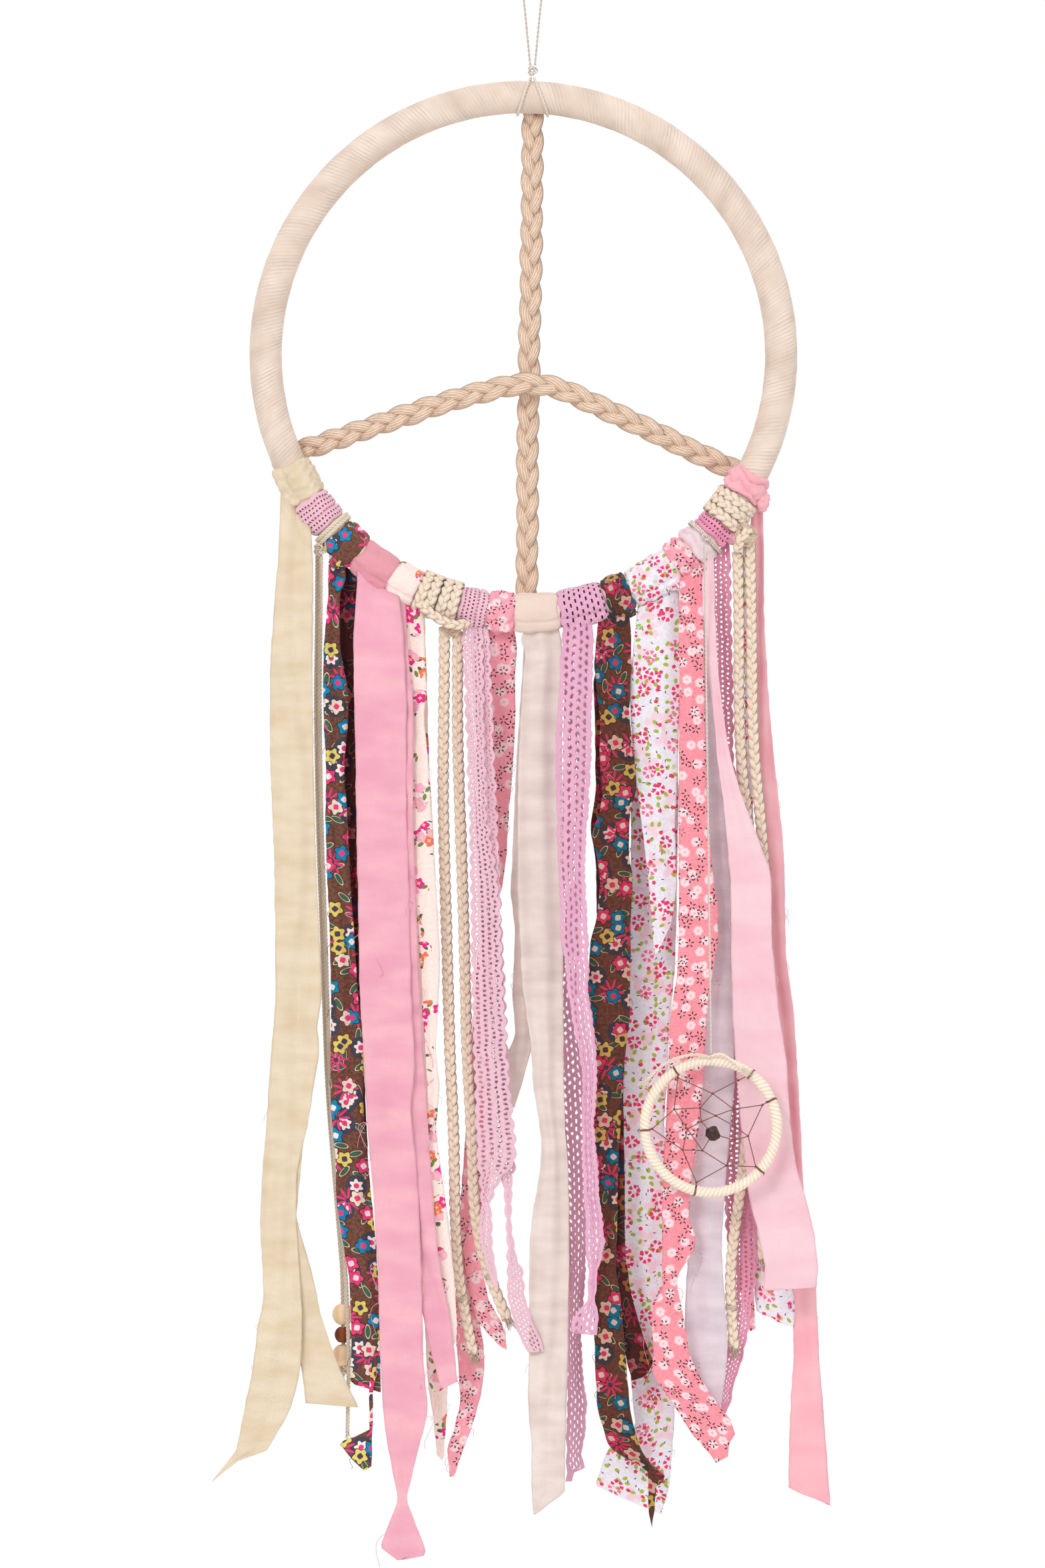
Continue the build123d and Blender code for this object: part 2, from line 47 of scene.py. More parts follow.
# How bright the surroundings are along an axis: from and to on the axis, and the strengths there
SKY = (("Y", (0.80, 0.95, 0.0, 1.0)), ("Z", (-0.9, 0.9, 0.56, 0.97)))
# Lamps: name, place and size in metres, and power in watts
LAMPS = (
    ("key", (-1.2, -2.6, 0.9), 0.8, 28),
    ("fill", (2.0, -2.4, -0.2), 2.0, 11),
    ("rim", (0.9, 1.6, 0.8), 1.2, 6),
)
LAMP_AIM = (0, 0, -0.45)
# The floor, in metres: its height, and its left, right, front and back
FLOOR_Z = -1.2
FLOOR_SIDES = (-1.6, 1.6, -1.4, 1.6)

# The hoop and what winds round it
HOOP_X, HOOP_Z, HOOP_R = -5.0, -200.0, 141.0
TAPE_R = 8.75
TAPE_LAP = 0.15
TAPE_PITCH = 21.0
WRAP_R = 11.1
SLEEVE_BORE_R = 8.7
SLEEVE_ROUND = 128  # quads round a wrap
CREASE = 0.6
TUCK_R = 10.2  # strips start this far from the tube's middle, under their wraps
HEAD = 0.38  # and this share of their depth in front of it or behind it

# Braids and cords
FRAME_BRAID_D = 12.5
TAIL_BRAID_D = 6.4
THIN_CORD_D = 2.4
HANGER_CORD_D = 1.4
CHARM_CORD_D = 1.3
LOBE_DEPTH = 0.10  # of the ridges on a plait's strands, as a share of the strand
KNOT_Z = -44.2
SLING_R, SLING_TILT, SLING_X = 11.3, 19.6, 4.8

# Beads and charm
BEAD_X, BEAD_Y = -103.9, 15.2
BEAD_BORE_R = 1.75
BEAD_KNOT_Z = -756.6
CHARM = (96.7, -27.5, -620.6)
CHARM_R = 35.75
RING_TURNS = 96
RING_STARTS = 3
RING_PITCH = 2 * pi * CHARM_R / RING_TURNS

# Routes of the braids and cords, from the knot down: (x, y, z)
ROUTES = {
    "braid_left_tail_a": [
        (-48.2, 0.4, -349.5), (-48.6, 0.0, -395), (-49.2, -0.4, -438), (-48.0, 0.2, -486),
        (-46.6, 0.4, -535), (-45.3, -0.2, -584), (-43.0, -0.4, -628), (-42.6, 0.2, -672),
        (-40.2, 0.4, -712), (-32.5, -0.2, -746),
    ],
    "braid_left_tail_b": [
        (-40.9, -0.3, -352), (-41.4, 0.2, -396), (-40.2, 0.4, -440), (-38.4, -0.2, -488),
        (-37.0, 0.2, -536), (-36.0, 0.4, -584), (-33.2, -0.3, -628), (-32.4, 0.2, -668),
        (-26.0, 0.3, -700), (-14.0, -0.2, -727),
    ],
    "braid_right_tail_a": [
        (112.2, 0.3, -308.5), (113.0, -0.2, -345), (112.7, 0.3, -384), (113.6, 0.1, -420),
        (118.0, -0.4, -456), (120.6, 0.2, -500), (121.4, 0.4, -552), (119.4, -0.2, -604),
        (114.5, 0.3, -652), (108.6, 0.2, -692), (108.0, -0.3, -718), (110.2, 0.2, -743),
    ],
    "braid_right_tail_b": [
        (118.9, 0.0, -303), (119.8, 0.4, -344), (119.9, -0.2, -384), (121.0, 0.3, -420),
        (125.2, 0.2, -458), (128.0, -0.4, -504), (128.6, 0.2, -556), (127.0, 0.4, -608),
        (125.0, -0.2, -652), (126.2, 0.2, -694),
    ],
    "thin_cord": [
        (-115.6, -2.2, -310), (-115.9, -2.4, -348), (-116.5, -2.0, -388), (-115.9, -2.2, -428),
        (-115.1, -2.5, -468), (-113.3, -2.1, -512), (-112.0, -2.3, -556), (-110.9, -2.0, -600),
        (-108.0, -2.4, -642), (-103.4, -2.1, -682), (-101.2, -2.3, -720), (-100.3, -2.0, -756),
        (-101.2, -2.2, -789),
    ],
    "bead_cord": [
        (-118.2, 15.2, -307.5), (-118.4, 15.0, -348), (-119.1, 15.3, -388), (-118.5, 15.2, -428),
        (-117.6, 14.9, -468), (-115.9, 15.3, -512), (-114.5, 15.1, -556), (-113.0, 15.3, -600),
        (-109.6, 15.0, -642), (-106.4, 15.3, -680), (BEAD_X, BEAD_Y, -710), (BEAD_X, BEAD_Y, -756.5),
    ],
    "vertical_braid": [
        (0, 6.6, -71.5), (-0.6, 6.4, -140), (-2.4, 6.6, -215), (-3.0, 9.0, -290), (-3.2, 18.4, -343),
    ],
    "cross_braid": [
        (-142, 18.2, -256), (-116, 10.5, -248.5), (-84, -1.5, -238), (-42, -6.6, -224.5),
        (1.5, -6.5, -213.2), (36, -6.6, -228), (70, 2.0, -244), (97, 13.5, -256), (124, 20.5, -268),
    ],
}
# The hanging loop's line, from the knot up round its top and back down: (x, y, z)
HANGING_LOOP = [
    (-1.3, 0, -41.4), (-2.5, 0, -29), (-4.0, 0, -13), (-5.0, 0, -4.4), (-4.5, 0, -0.8), (-2.0, 0, 0.7),
    (2.0, 0, 0.7), (4.5, 0, -0.8), (5.0, 0, -4.4), (4.0, 0, -13), (2.5, 0, -29), (1.3, 0, -41.4),
]
CHARM_ROUTE = [
    (93.6, -15.2, -303.9), (94.1, -17.3, -350), (94.8, -19.9, -410), (95.5, -22.6, -470),
    (96.1, -25.0, -525), (CHARM[0], CHARM[1], CHARM[2] + CHARM_R + 3.7),
]
# The charm cord's two ends, tied off at the top of the charm's ring
CHARM_TIES = (
    [(96.2, -31.2, -583.2), (90, -33.4, -580.5), (78, -33.0, -583), (68, -32.5, -588), (62.5, -32.5, -595)],
    [(96.8, -31.0, -582.5), (101, -33.2, -580.0), (108, -33.5, -584.5), (113.5, -32.5, -589)],
)

# The charm's web, from its ring's middle: its knots as (x, z), and the threads that run through them
WEB_KNOTS = {
    "ring_a": (-18.9, 30.2), "ring_b": (21.7, 28.3), "ring_c": (31.6, 13.8), "ring_d": (27.6, -24.6),
    "ring_e": (-8.5, -34.2), "ring_f": (-35.2, -1.7),
    "a": (-17.9, 26.4), "b": (15.0, 25.1), "c": (28.0, 11.7), "d": (24.4, -21.8), "e": (-7.8, -30.3),
    "f": (-31.9, -1.3),
    "n1": (1.0, 17.9), "n2": (12.4, 9.4), "n3": (20.2, -5.2), "n4": (8.5, -21.2), "n5": (-15.3, -12.7),
    "n6": (-19.9, 9.4),
    "m1": (-5.9, 10.1), "m2": (2.6, 5.9), "m3": (13.3, 0.0), "m4": (13.0, -7.5), "m5": (-4.6, -13.0),
    "m6": (-12.7, -1.3), "hub": (-5.2, 2.6), "stone": (1.0, -3.9),
}
WEB_THREADS = [
    "ring_a a n1 b ring_b", "a n6 f ring_f", "n1 m1 n6", "n1 n2 c ring_c", "c n3 d ring_d",
    "d n4 e ring_e", "e n5 f", "n3 m3 m2 m1 hub", "m2 n2 m3 m4 n4", "n3 m4", "n4 m5 n5", "n6 m6 n5",
    "m6 m5", "m6 hub m2", "hub stone m4", "stone m5",
]

# Cloth wound or knotted on the hoop's lower arc: name, first and last angle from straight down, finish, slot
# and how it lies
WRAPS = (
    ("organza_left", -65.0, -56.1, "organza_left", "organza_cream", "crumpled"),
    ("lace_pink_left", -56.0, -48.6, "lace_pink", "lace_pink", "lace"),
    ("brown_left", -46.5, -39.6, "brown", "brown_print", "crumpled"),
    ("solid_pink_left", -39.5, -30.6, "pink_knot", "solid_pink", "smooth"),
    ("rose_print", -30.5, -24.1, "rose", "rose_print", "smooth"),
    ("lace_pink_mid", -14.7, -8.1, "lace_pink", "lace_pink", "lace"),
    ("pink_print_left", -8.0, -2.1, "pink_print", "pink_print", "crumpled"),
    ("organza_mid", -2.0, 7.9, "organza_knot", "organza_beige", "smooth"),
    ("lace_lilac", 8.0, 18.4, "lace_lilac", "lace_lilac", "crochet"),
    ("brown_right", 18.5, 24.4, "brown_dark", "brown_print", "crumpled"),
    ("white_floral", 24.5, 35.4, "white_floral", "white_floral", "crumpled"),
    ("pink_print_right", 35.5, 40.4, "pink_print", "pink_print", "rolled"),
    ("sheer_right", 40.5, 44.2, "sheer_white", "sheer_pink", "rolled"),
    ("lace_pink_right", 45.6, 49.4, "lace_deep", "lace_pink", "lace"),
    ("solid_pink_right", 56.5, 63.0, "pink_right", "solid_pink", "rolled"),
)
# Holes in a wrap of lace: how many quads apart and how many across, along the hoop and round the tube
HOLES = {"lace": ((5, 4), (2, 2)), "crochet": ((6, 8), (2, 4))}
# Lumps of cloth where a strip is knotted: name, angle, millimetres out and forward, size, finish and slot
LUMPS = (
    ("brown_left", -41.9, 11.6, 3.5, (4.8, 4.2, 3.6), "brown", "brown_print"),
    ("brown_right", 21.6, 10.4, 3.5, (6.4, 4.2, 3.4), "brown_dark", "brown_print"),
    ("white_floral", 33.5, 10.5, 3.5, (8.0, 4.4, 3.4), "white_floral", "white_floral"),
    ("pink_print_right", 39.5, 11.0, 3.5, (4.8, 4.2, 3.6), "pink_print", "pink_print"),
    ("lace_pink_right", 48.8, 11.5, 4.0, (4.6, 3.8, 3.8), "lace_deep", "lace_pink"),
    ("solid_pink_right", 58.6, 12.0, 2.0, (4.4, 4.4, 6.8), "pink_right", "solid_pink"),
    ("organza_left", -58.0, 10.0, 2.5, (4.6, 4.0, 3.8), "organza_left", "organza_cream"),
)

# Cloth strips: the slot, and for each plate from the front its finish, pleats and how deep they are
STRIPS = {
    "organza_left": ("organza_cream", [("organza_left", 1.5, 1.2), ("organza_left", 1.2, 0.9)]),
    "brown_left": (
        "brown_print", [("brown", 0.5, 0.3), ("brown", 1.6, 1.0), ("brown_shaded", 1.0, 0.6)],
    ),
    "solid_pink_left": ("solid_pink", [("pink_left", 1.1, 1.1), ("pink_left", 1.3, 0.9)]),
    "rose_print": ("rose_print", [("rose", 1.0, 0.9), ("rose", 1.0, 0.8)]),
    "pink_print_left": ("pink_print", [("pink_print", 1.3, 0.8), ("pink_print", 1.0, 0.8)]),
    "organza_mid": ("organza_beige", [("organza_mid", 1.7, 1.1), ("organza_mid", 1.3, 0.9)]),
    "brown_right": ("brown_print", [("brown_dark", 1.4, 0.7), ("brown_shaded", 1.0, 0.6)]),
    "white_floral": ("white_floral", [("white_floral", 1.6, 0.7), ("white_floral", 1.5, 0.9)]),
    "pink_print_right": ("pink_print", [("pink_print_deep", 1.6, 0.65)]),
    "sheer_right": ("sheer_pink", [("sheer_front", 1.3, 0.7), ("sheer_back", 1.4, 0.8)]),
    "solid_pink_right": ("solid_pink", [("pink_right", 1.2, 0.8)]),
    "offcut": ("white_floral", [("white_floral", 1.0, 0.3), ("pink_print", 1.0, 0.3)]),
}
# Strips cut wider than their plates, by so many millimetres on the left and right
WIDER = {"pink_print_right": (0.4, 2.6), "sheer_right": (1.6, 0.3)}
# Lace strips: the finish, each plate's pleats and their depth, the holes as eyelets() takes them, the
# scallops' depth and pitch, and how much wider the strip is than its plate
FINE_HOLES = (4, 2.7, 0.30, 0.30, 1.2)
COARSE_HOLES = (4, 4.6, 0.27, 0.34, 1.4)
LACES = {
    "lace_pink_mid": ("lace_pink", [(1.2, 0.75), (1.0, 0.7)], FINE_HOLES, (1.5, 8), (0, 0)),
    "lace_lilac": ("lace_lilac", [(1.2, 1.2), (1.1, 1.0)], COARSE_HOLES, (0.6, 4.6), (0, 0)),
    "lace_pink_right": ("lace_deep", [(1.3, 0.9)], FINE_HOLES, (1.2, 8), (4.5, 0)),
}

# Colours of the prints, and of the painted shade between a plait's strands
BLUE, HOT_PINK, YELLOW, CREAM = (0, 138, 186), (238, 66, 130), (236, 214, 112), (246, 228, 208)
CHARCOAL, LEAF, LIME, WHITE = (72, 68, 84), (64, 104, 78), (172, 188, 72), (252, 244, 236)
PLAIT_SHADE = (178, 142, 114)


# ---------------------------------------------------------------- camera, light and floor


def set_stage():
    """The camera, the light and the floor."""
    camera = bpy.data.objects.new("camera", bpy.data.cameras.new("camera"))
    scene.collection.objects.link(camera)
    camera.location = CAMERA_PLACE
    camera.rotation_euler = (radians(90), 0, 0)
    camera.data.lens = CAMERA_LENS
    scene.camera = camera
    scene.view_settings.view_transform = "Standard"

    # A white backdrop behind the object, and soft light that is stronger from above
    world = bpy.data.worlds.new("studio")
    scene.world = world
    world.use_nodes = True
    nodes, links = world.node_tree.nodes, world.node_tree.links
    way = nodes.new("ShaderNodeSeparateXYZ")
    links.new(nodes.new("ShaderNodeTexCoord").outputs["Generated"], way.inputs[0])
    brighter = nodes.new("ShaderNodeMath")
    brighter.operation = "MAXIMUM"
    for socket, (axis, limits) in zip(brighter.inputs, SKY):
        ramp = nodes.new("ShaderNodeMapRange")
        links.new(way.outputs[axis], ramp.inputs["Value"])
        for name, value in zip(("From Min", "From Max", "To Min", "To Max"), limits):
            ramp.inputs[name].default_value = value
        links.new(ramp.outputs["Result"], socket)
    links.new(brighter.outputs[0], nodes["Background"].inputs["Strength"])
    nodes["Background"].inputs["Color"].default_value = (1, 1, 1, 1)

    for name, place, size, power in LAMPS:
        lamp = bpy.data.lights.new(name, "AREA")
        lamp.size = size
        lamp.energy = power
        held = bpy.data.objects.new(name, lamp)
        scene.collection.objects.link(held)
        held.location = place
        aim = Vector(LAMP_AIM) - held.location
        held.rotation_euler = aim.to_track_quat("-Z", "Y").to_euler()

    west, east, near, far = FLOOR_SIDES
    corners = [(x, y, FLOOR_Z) for x, y in ((west, near), (east, near), (east, far), (west, far))]
    mesh = bpy.data.meshes.new("floor")
    mesh.from_pydata(corners, [], [(0, 1, 2, 3)])
    floor = bpy.data.objects.new("floor", mesh)
    scene.collection.objects.link(floor)
    mesh.materials.append(Finish("floor", (236, 234, 230), 0.8).material)


# ---------------------------------------------------------------- materials


def linear(rgb):
    """A colour given as 0 to 255 sRGB, as a shader takes it."""
    parts = [c / 255 for c in rgb]
    return tuple(p / 12.92 if p < 0.0405 else ((p + 0.055) / 1.055) ** 2.4 for p in parts) + (1,)


class Value:
    """A number, place or colour that a material's nodes work out. Arithmetic on it adds nodes."""

    def __init__(self, finish, socket):
        self.finish = finish
        self.socket = socket

    def __add__(self, other):
        return self.finish.math("ADD", self, other)

    def __sub__(self, other):
        return self.finish.math("SUBTRACT", self, other)

    def __rsub__(self, other):
        return self.finish.math("SUBTRACT", other, self)

    def __mul__(self, other):
        return self.finish.math("MULTIPLY", self, other)

    def __truediv__(self, other):
        return self.finish.math("DIVIDE", self, other)

    def __abs__(self):
        return self.finish.math("ABSOLUTE", self)

    def sine(self):
        return self.finish.math("SINE", self)

    def cosine(self):
        return self.finish.math("COSINE", self)

    def wave(self, pitch):
        """From -1 to 1 and back, over and over, so many millimetres apart."""
        return (self * (2 * pi / pitch)).sine()

    def least(self, other):
        return self.finish.math("MINIMUM", self, other)

    def ramp(self, low, high):
        """0 below low, 1 above high."""
        node = self.finish.add("ShaderNodeMapRange")
        self.finish.feed(node.inputs["Value"], self)
        node.inputs["From Min"].default_value = low
        node.inputs["From Max"].default_value = high
        return Value(self.finish, node.outputs["Result"])


class Finish:
    """A procedural material, and short ways to add nodes to it. Patterns are laid out in millimetres of flat
    cloth: along u across the piece and along v down it."""

    def __init__(self, name, rgb, rough, sheen=0.0, coordinates="cloth"):
        self.material = bpy.data.materials.new(name)
        self.material.use_nodes = True
        self.tree = self.material.node_tree
        self.shader = self.tree.nodes["Principled BSDF"]
        self.shader.inputs["Base Color"].default_value = linear(rgb)
        self.shader.inputs["Roughness"].default_value = rough
        self.shader.inputs["Sheen Weight"].default_value = sheen
        self.shader.inputs["Specular IOR Level"].default_value = 0.25
        if coordinates == "object":
            place = Value(self, self.add("ShaderNodeTexCoord").outputs["Object"])
            self.where = self.scaled(place, 1 / MM)
        else:
            self.where = Value(self, self.add("ShaderNodeUVMap", uv_map=coordinates).outputs["UV"])

    def add(self, kind, **settings):
        node = self.tree.nodes.new(kind)
        for key, value in settings.items():
            setattr(node, key, value)
        return node

    def feed(self, socket, value):
        if isinstance(value, Value):
            self.tree.links.new(value.socket, socket)
        else:
            socket.default_value = value

    def math(self, how, *values):
        node = self.add("ShaderNodeMath", operation=how)
        for socket, value in zip(node.inputs, values):
            self.feed(socket, value)
        return Value(self, node.outputs[0])

    def vector(self, how, a, b):
        node = self.add("ShaderNodeVectorMath", operation=how)
        self.feed(node.inputs[0], a)
        self.feed(node.inputs[1], b)
        return Value(self, node.outputs["Vector"])

    def scaled(self, place, by):
        node = self.add("ShaderNodeVectorMath", operation="SCALE")
        self.feed(node.inputs[0], place)
        node.inputs["Scale"].default_value = by
        return Value(self, node.outputs["Vector"])

    def split(self, place):
        node = self.add("ShaderNodeSeparateXYZ")
        self.feed(node.inputs[0], place)
        return [Value(self, output) for output in node.outputs]

    def noise(self, scale, detail=2.0, stretch=(1, 1, 1)):
        """Noise of so many millimetres to a lump, from 0 to 1."""
        node = self.add("ShaderNodeTexNoise")
        self.feed(node.inputs["Vector"], self.vector("MULTIPLY", self.where, stretch))
        node.inputs["Scale"].default_value = 1 / scale
        node.inputs["Detail"].default_value = detail
        return Value(self, node.outputs["Fac"])

    def colours(self, value, stops):
        """Bands of flat colour, each from its own place between 0 and 1."""
        node = self.add("ShaderNodeValToRGB")
        self.feed(node.inputs["Fac"], value)
        band = node.color_ramp
        band.interpolation = "CONSTANT"
        while len(band.elements) < len(stops):
            band.elements.new(0.5)
        for element, (at, rgb) in zip(band.elements, stops):
            element.position = at
            element.color = linear(rgb)
        return Value(self, node.outputs["Color"])

    def mix(self, amount, a, b, how="MIX"):
        node = self.add("ShaderNodeMix", data_type="RGBA", blend_type=how)
        self.feed(node.inputs["Factor"], amount)
        for socket, colour in (("A", a), ("B", b)):
            self.feed(node.inputs[socket], colour if isinstance(colour, Value) else linear(colour))
        return Value(self, node.outputs["Result"])

    def spots(self, size, seed, loose=1.0):
        """Spots scattered about so many millimetres apart: the place as seen from the nearest one, right and
        up, a number of the spot's own from 0 to 1, and an angle of its own."""
        place = self.scaled(self.vector("ADD", self.where, (seed * 13.7, seed * 7.1, 0)), 1 / size)
        node = self.add("ShaderNodeTexVoronoi", voronoi_dimensions="2D")
        self.feed(node.inputs["Vector"], place)
        node.inputs["Scale"].default_value = 1
        node.inputs["Randomness"].default_value = loose
        away = self.vector("SUBTRACT", place, Value(self, node.outputs["Position"]))
        x, y, _ = self.split(self.scaled(away, size))
        own, other, _ = self.split(Value(self, node.outputs["Color"]))
        return x, y, own, other * (2 * pi)

    def far(self, x, y):
        return self.math("SQRT", x * x + y * y)

    def bearing(self, spot):
        """The angle round a spot, from the spot's own angle."""
        x, y, _, turn = spot
        return self.math("ARCTAN2", y, x) + turn

    def blossom(self, spot, size, notch, petals):
        """Millimetres inside the edge of a flower of that radius."""
        wave = (self.bearing(spot) * petals).cosine()
        edge = self.math("MULTIPLY_ADD", wave, size * notch, size * (1 - notch))
        return edge - self.far(*spot[:2])

    def leaf(self, spot, size, slim):
        """Millimetres inside the edge of a leaf of that half length, so many times longer than wide."""
        x, y, _, turn = spot
        c, s = turn.cosine(), turn.sine()
        return size - self.far(x * c + y * s, (y * c - x * s) * slim)

    def shown(self, spot, inside, over):
        """A shape only at the spots whose own number is over a limit."""
        return inside.least((spot[2] - over) * 9)

    def lay(self, below, inside, tint, soft=0.12):
        """Prints a tint over the colour below wherever inside is above 0."""
        return self.mix(inside.ramp(-soft, soft), below, tint)

    def flower(self, colour, spot, *layers):
        """Prints a flower's layers, largest first, each as its radius, notch, petals and tint."""
        for size, notch, petals, tint in layers:
            colour = self.lay(colour, self.blossom(spot, size, notch, petals), tint)
        return colour

    def done(self, colour, roughness, height, depth):
        """The material with its colour and roughness, and relief so many millimetres deep."""
        self.feed(self.shader.inputs["Base Color"], colour)
        self.feed(self.shader.inputs["Roughness"], roughness)
        relief = self.add("ShaderNodeBump")
        relief.inputs["Strength"].default_value = 1.0
        relief.inputs["Distance"].default_value = depth * MM
        self.feed(relief.inputs["Height"], height)
        self.tree.links.new(relief.outputs["Normal"], self.shader.inputs["Normal"])
        return self.material


def weave(finish, pitch):
    """Height of a plain weave: threads each way, over and under, some thicker than others."""
    u, v, _ = finish.split(finish.where)
    slubs = finish.noise(0.5, 2, (1, 0.06, 1)) + finish.noise(0.5, 2, (0.06, 1, 1))
    return u.wave(pitch) * v.wave(pitch) * 0.35 + slubs


def cloth(name, light, dark, pitch=0.5, lump=26, alpha=1.0):
    """Plain woven cloth, a little uneven in tone, with painted shade where its weave lies low."""
    finish = Finish(name, light, 0.9, 0.2)
    finish.shader.inputs["Alpha"].default_value = alpha
    height = weave(finish, pitch)
    tone = finish.mix(finish.noise(lump, 2, (0.45, 1.2, 1)).ramp(0.36, 0.66), light, dark)
    # Painted shade: the colour is mixed darker where the weave's relief is low.
    colour = finish.mix(height.ramp(1.35, 0.65), tone, finish.mix(0.5, tone, dark))
    return finish.done(colour, height.ramp(-3.0, 1.6), height, 0.14)


def yarn(name, light, dark, pitch, slant, depth=0.2, radius=None, shaded=0.55):
    """Soft cotton: fine fibres that run along the strand and a little round it, darker where they lie low. A
    strand of a plait or cord, of the radius given, has painted shade at its sides, where it meets the next
    one."""
    finish = Finish(name, light, 0.92, 0.2)
    u, v, _ = finish.split(finish.where)
    ply = (u + v * slant).wave(pitch)
    fibre = finish.noise(0.5, 4, (1, 0.12, 1))
    height = ply * 0.4 + fibre * 1.4
    # Darker where ply and fibres lie low: partly the fibres' own tone, partly painted shade in the grooves
    # between plies.
    tone = finish.mix(height.ramp(0.30, 0.95), dark, light)
    if radius is not None:
        # Painted shade: the strand's sides, where it meets the next strand, are mixed toward PLAIT_SHADE.
        side = abs((u / radius).cosine())
        tone = finish.mix(side.ramp(0.62, 1.0) * shaded, tone, PLAIT_SHADE)
    return finish.done(tone, fibre.ramp(-0.9, 0.9), height, depth)


def tape_cloth(name, light, dark):
    """Cotton tape, its ribs running along its length, plainer in some places than in others, with painted
    shade in the grooves between its ribs.
    """
    finish = Finish(name, light, 0.9, 0.2)
    u, _, _ = finish.split(finish.where)
    rib = (u + finish.noise(9, 1) * 1.6).wave(2.1) * finish.noise(9, 2, (1, 0.5, 1)).ramp(0.36, 0.62)
    fibre = finish.noise(1.2, 2, (1, 0.12, 1))
    soft = finish.mix(finish.noise(18, 2).ramp(0.35, 0.7), light, dark)
    # Painted shade: darker in the grooves between the ribs.
    colour = finish.mix(rib.ramp(0.6, -1.3), soft, finish.mix(0.9, soft, dark))
    return finish.done(colour, fibre.ramp(-1.0, 0.8), rib + fibre, 0.16)


def printed(name, ground, shade):
    """The ground of a printed cloth, ready for its pattern: the finish, its colour so far and its weave."""
    finish = Finish(name, ground, 0.88, 0.15)
    height = weave(finish, 0.45)
    colour = finish.mix(finish.noise(1.6, 3).ramp(0.36, 0.66), ground, shade)
    return finish, colour, height


def print_done(finish, colour, height):
    """The material of a printed cloth, with the weave's roughness and relief."""
    return finish.done(colour, height.ramp(-3.0, 1.6), height, 0.12)


def brown_print(name, shade=None):
    """Small flowers in four colours, pink daisies, grey discs and leaves on brown."""
    finish, colour, height = printed(name, (130, 86, 68), (98, 58, 46))
    inside = finish.leaf(finish.spots(10.5, 31), 3.9, 2.6)
    colour = finish.lay(finish.lay(colour, inside, CREAM), inside - 0.55, LEAF)
    disc = ((6.0, 0.0, 5, CHARCOAL), (3.9, 0.18, 6, WHITE), (1.5, 0.0, 5, HOT_PINK))
    colour = finish.flower(colour, finish.spots(20, 12), *disc)
    daisy = ((7.2, 0.46, 9, HOT_PINK), (1.3, 0.0, 9, CHARCOAL))
    colour = finish.flower(colour, finish.spots(24, 5), *daisy)
    small = finish.spots(12, 3)
    petals = finish.colours(small[2], [(0, BLUE), (0.34, HOT_PINK), (0.54, YELLOW), (0.82, CREAM)])
    hearts = finish.colours(small[2], [(0, HOT_PINK), (0.17, WHITE), (0.54, CHARCOAL), (0.82, HOT_PINK)])
    layers = ((4.9, 0.15, 5, (52, 32, 34)), (4.4, 0.16, 5, petals), (1.75, 0.08, 4, hearts))
    colour = finish.flower(colour, small, *layers)
    # With shade given, the whole print is multiplied darker: painted shade for the back plates' copy, and the
    # print's own darker colour for the right-hand knot and front plate.
    if shade is not None:
        colour = finish.mix(1.0, colour, shade, "MULTIPLY")
    return print_done(finish, colour, height)


def rose_print(name):
    """Loose bunches of small roses and leaves on a pale ground."""
    finish, colour, height = printed(name, (255, 238, 230), (252, 228, 220))
    bunch = finish.blossom(finish.spots(23, 9, loose=0.55), 10.4, 0.22, 3)
    leaf = finish.spots(4.6, 4)
    greens = finish.colours(leaf[2], [(0, (120, 138, 66)), (0.6, (84, 104, 50))])
    colour = finish.lay(colour, finish.leaf(leaf, 1.9, 1.9).least(bunch), greens)
    rose = finish.spots(6.7, 17)
    reds = finish.colours(rose[2], [(0, (248, 178, 204)), (0.45, (232, 44, 140)), (0.8, (240, 120, 92))])
    for size, notch, petals, tint in ((3.3, 0.14, 5, reds), (1.1, 0.3, 4, (250, 208, 150))):
        colour = finish.lay(colour, finish.blossom(rose, size, notch, petals).least(bunch), tint)
    return print_done(finish, colour, height)


def pink_print(name, ground, shade):
    """White round flowers and fans of short black dashes on pink."""
    finish, colour, height = printed(name, ground, shade)
    flower = finish.spots(8.6, 2)
    colour = finish.lay(colour, finish.blossom(flower, 2.6, 0.06, 6), (255, 222, 226), soft=0.45)
    colour = finish.lay(colour, finish.blossom(flower, 0.6, 0.0, 6), (250, 176, 190), soft=0.3)
    fan = finish.spots(6.4, 8)
    far = finish.far(*fan[:2])
    thin = 0.34 - abs((finish.bearing(fan) * 2.5).sine()) * (far * 0.42)
    reach = 0.75 - abs(far - 1.75)
    dash = thin.least(reach).least((fan[2] - 0.34) * 4)
    return print_done(finish, finish.lay(colour, dash, (58, 44, 56), soft=0.08), height)


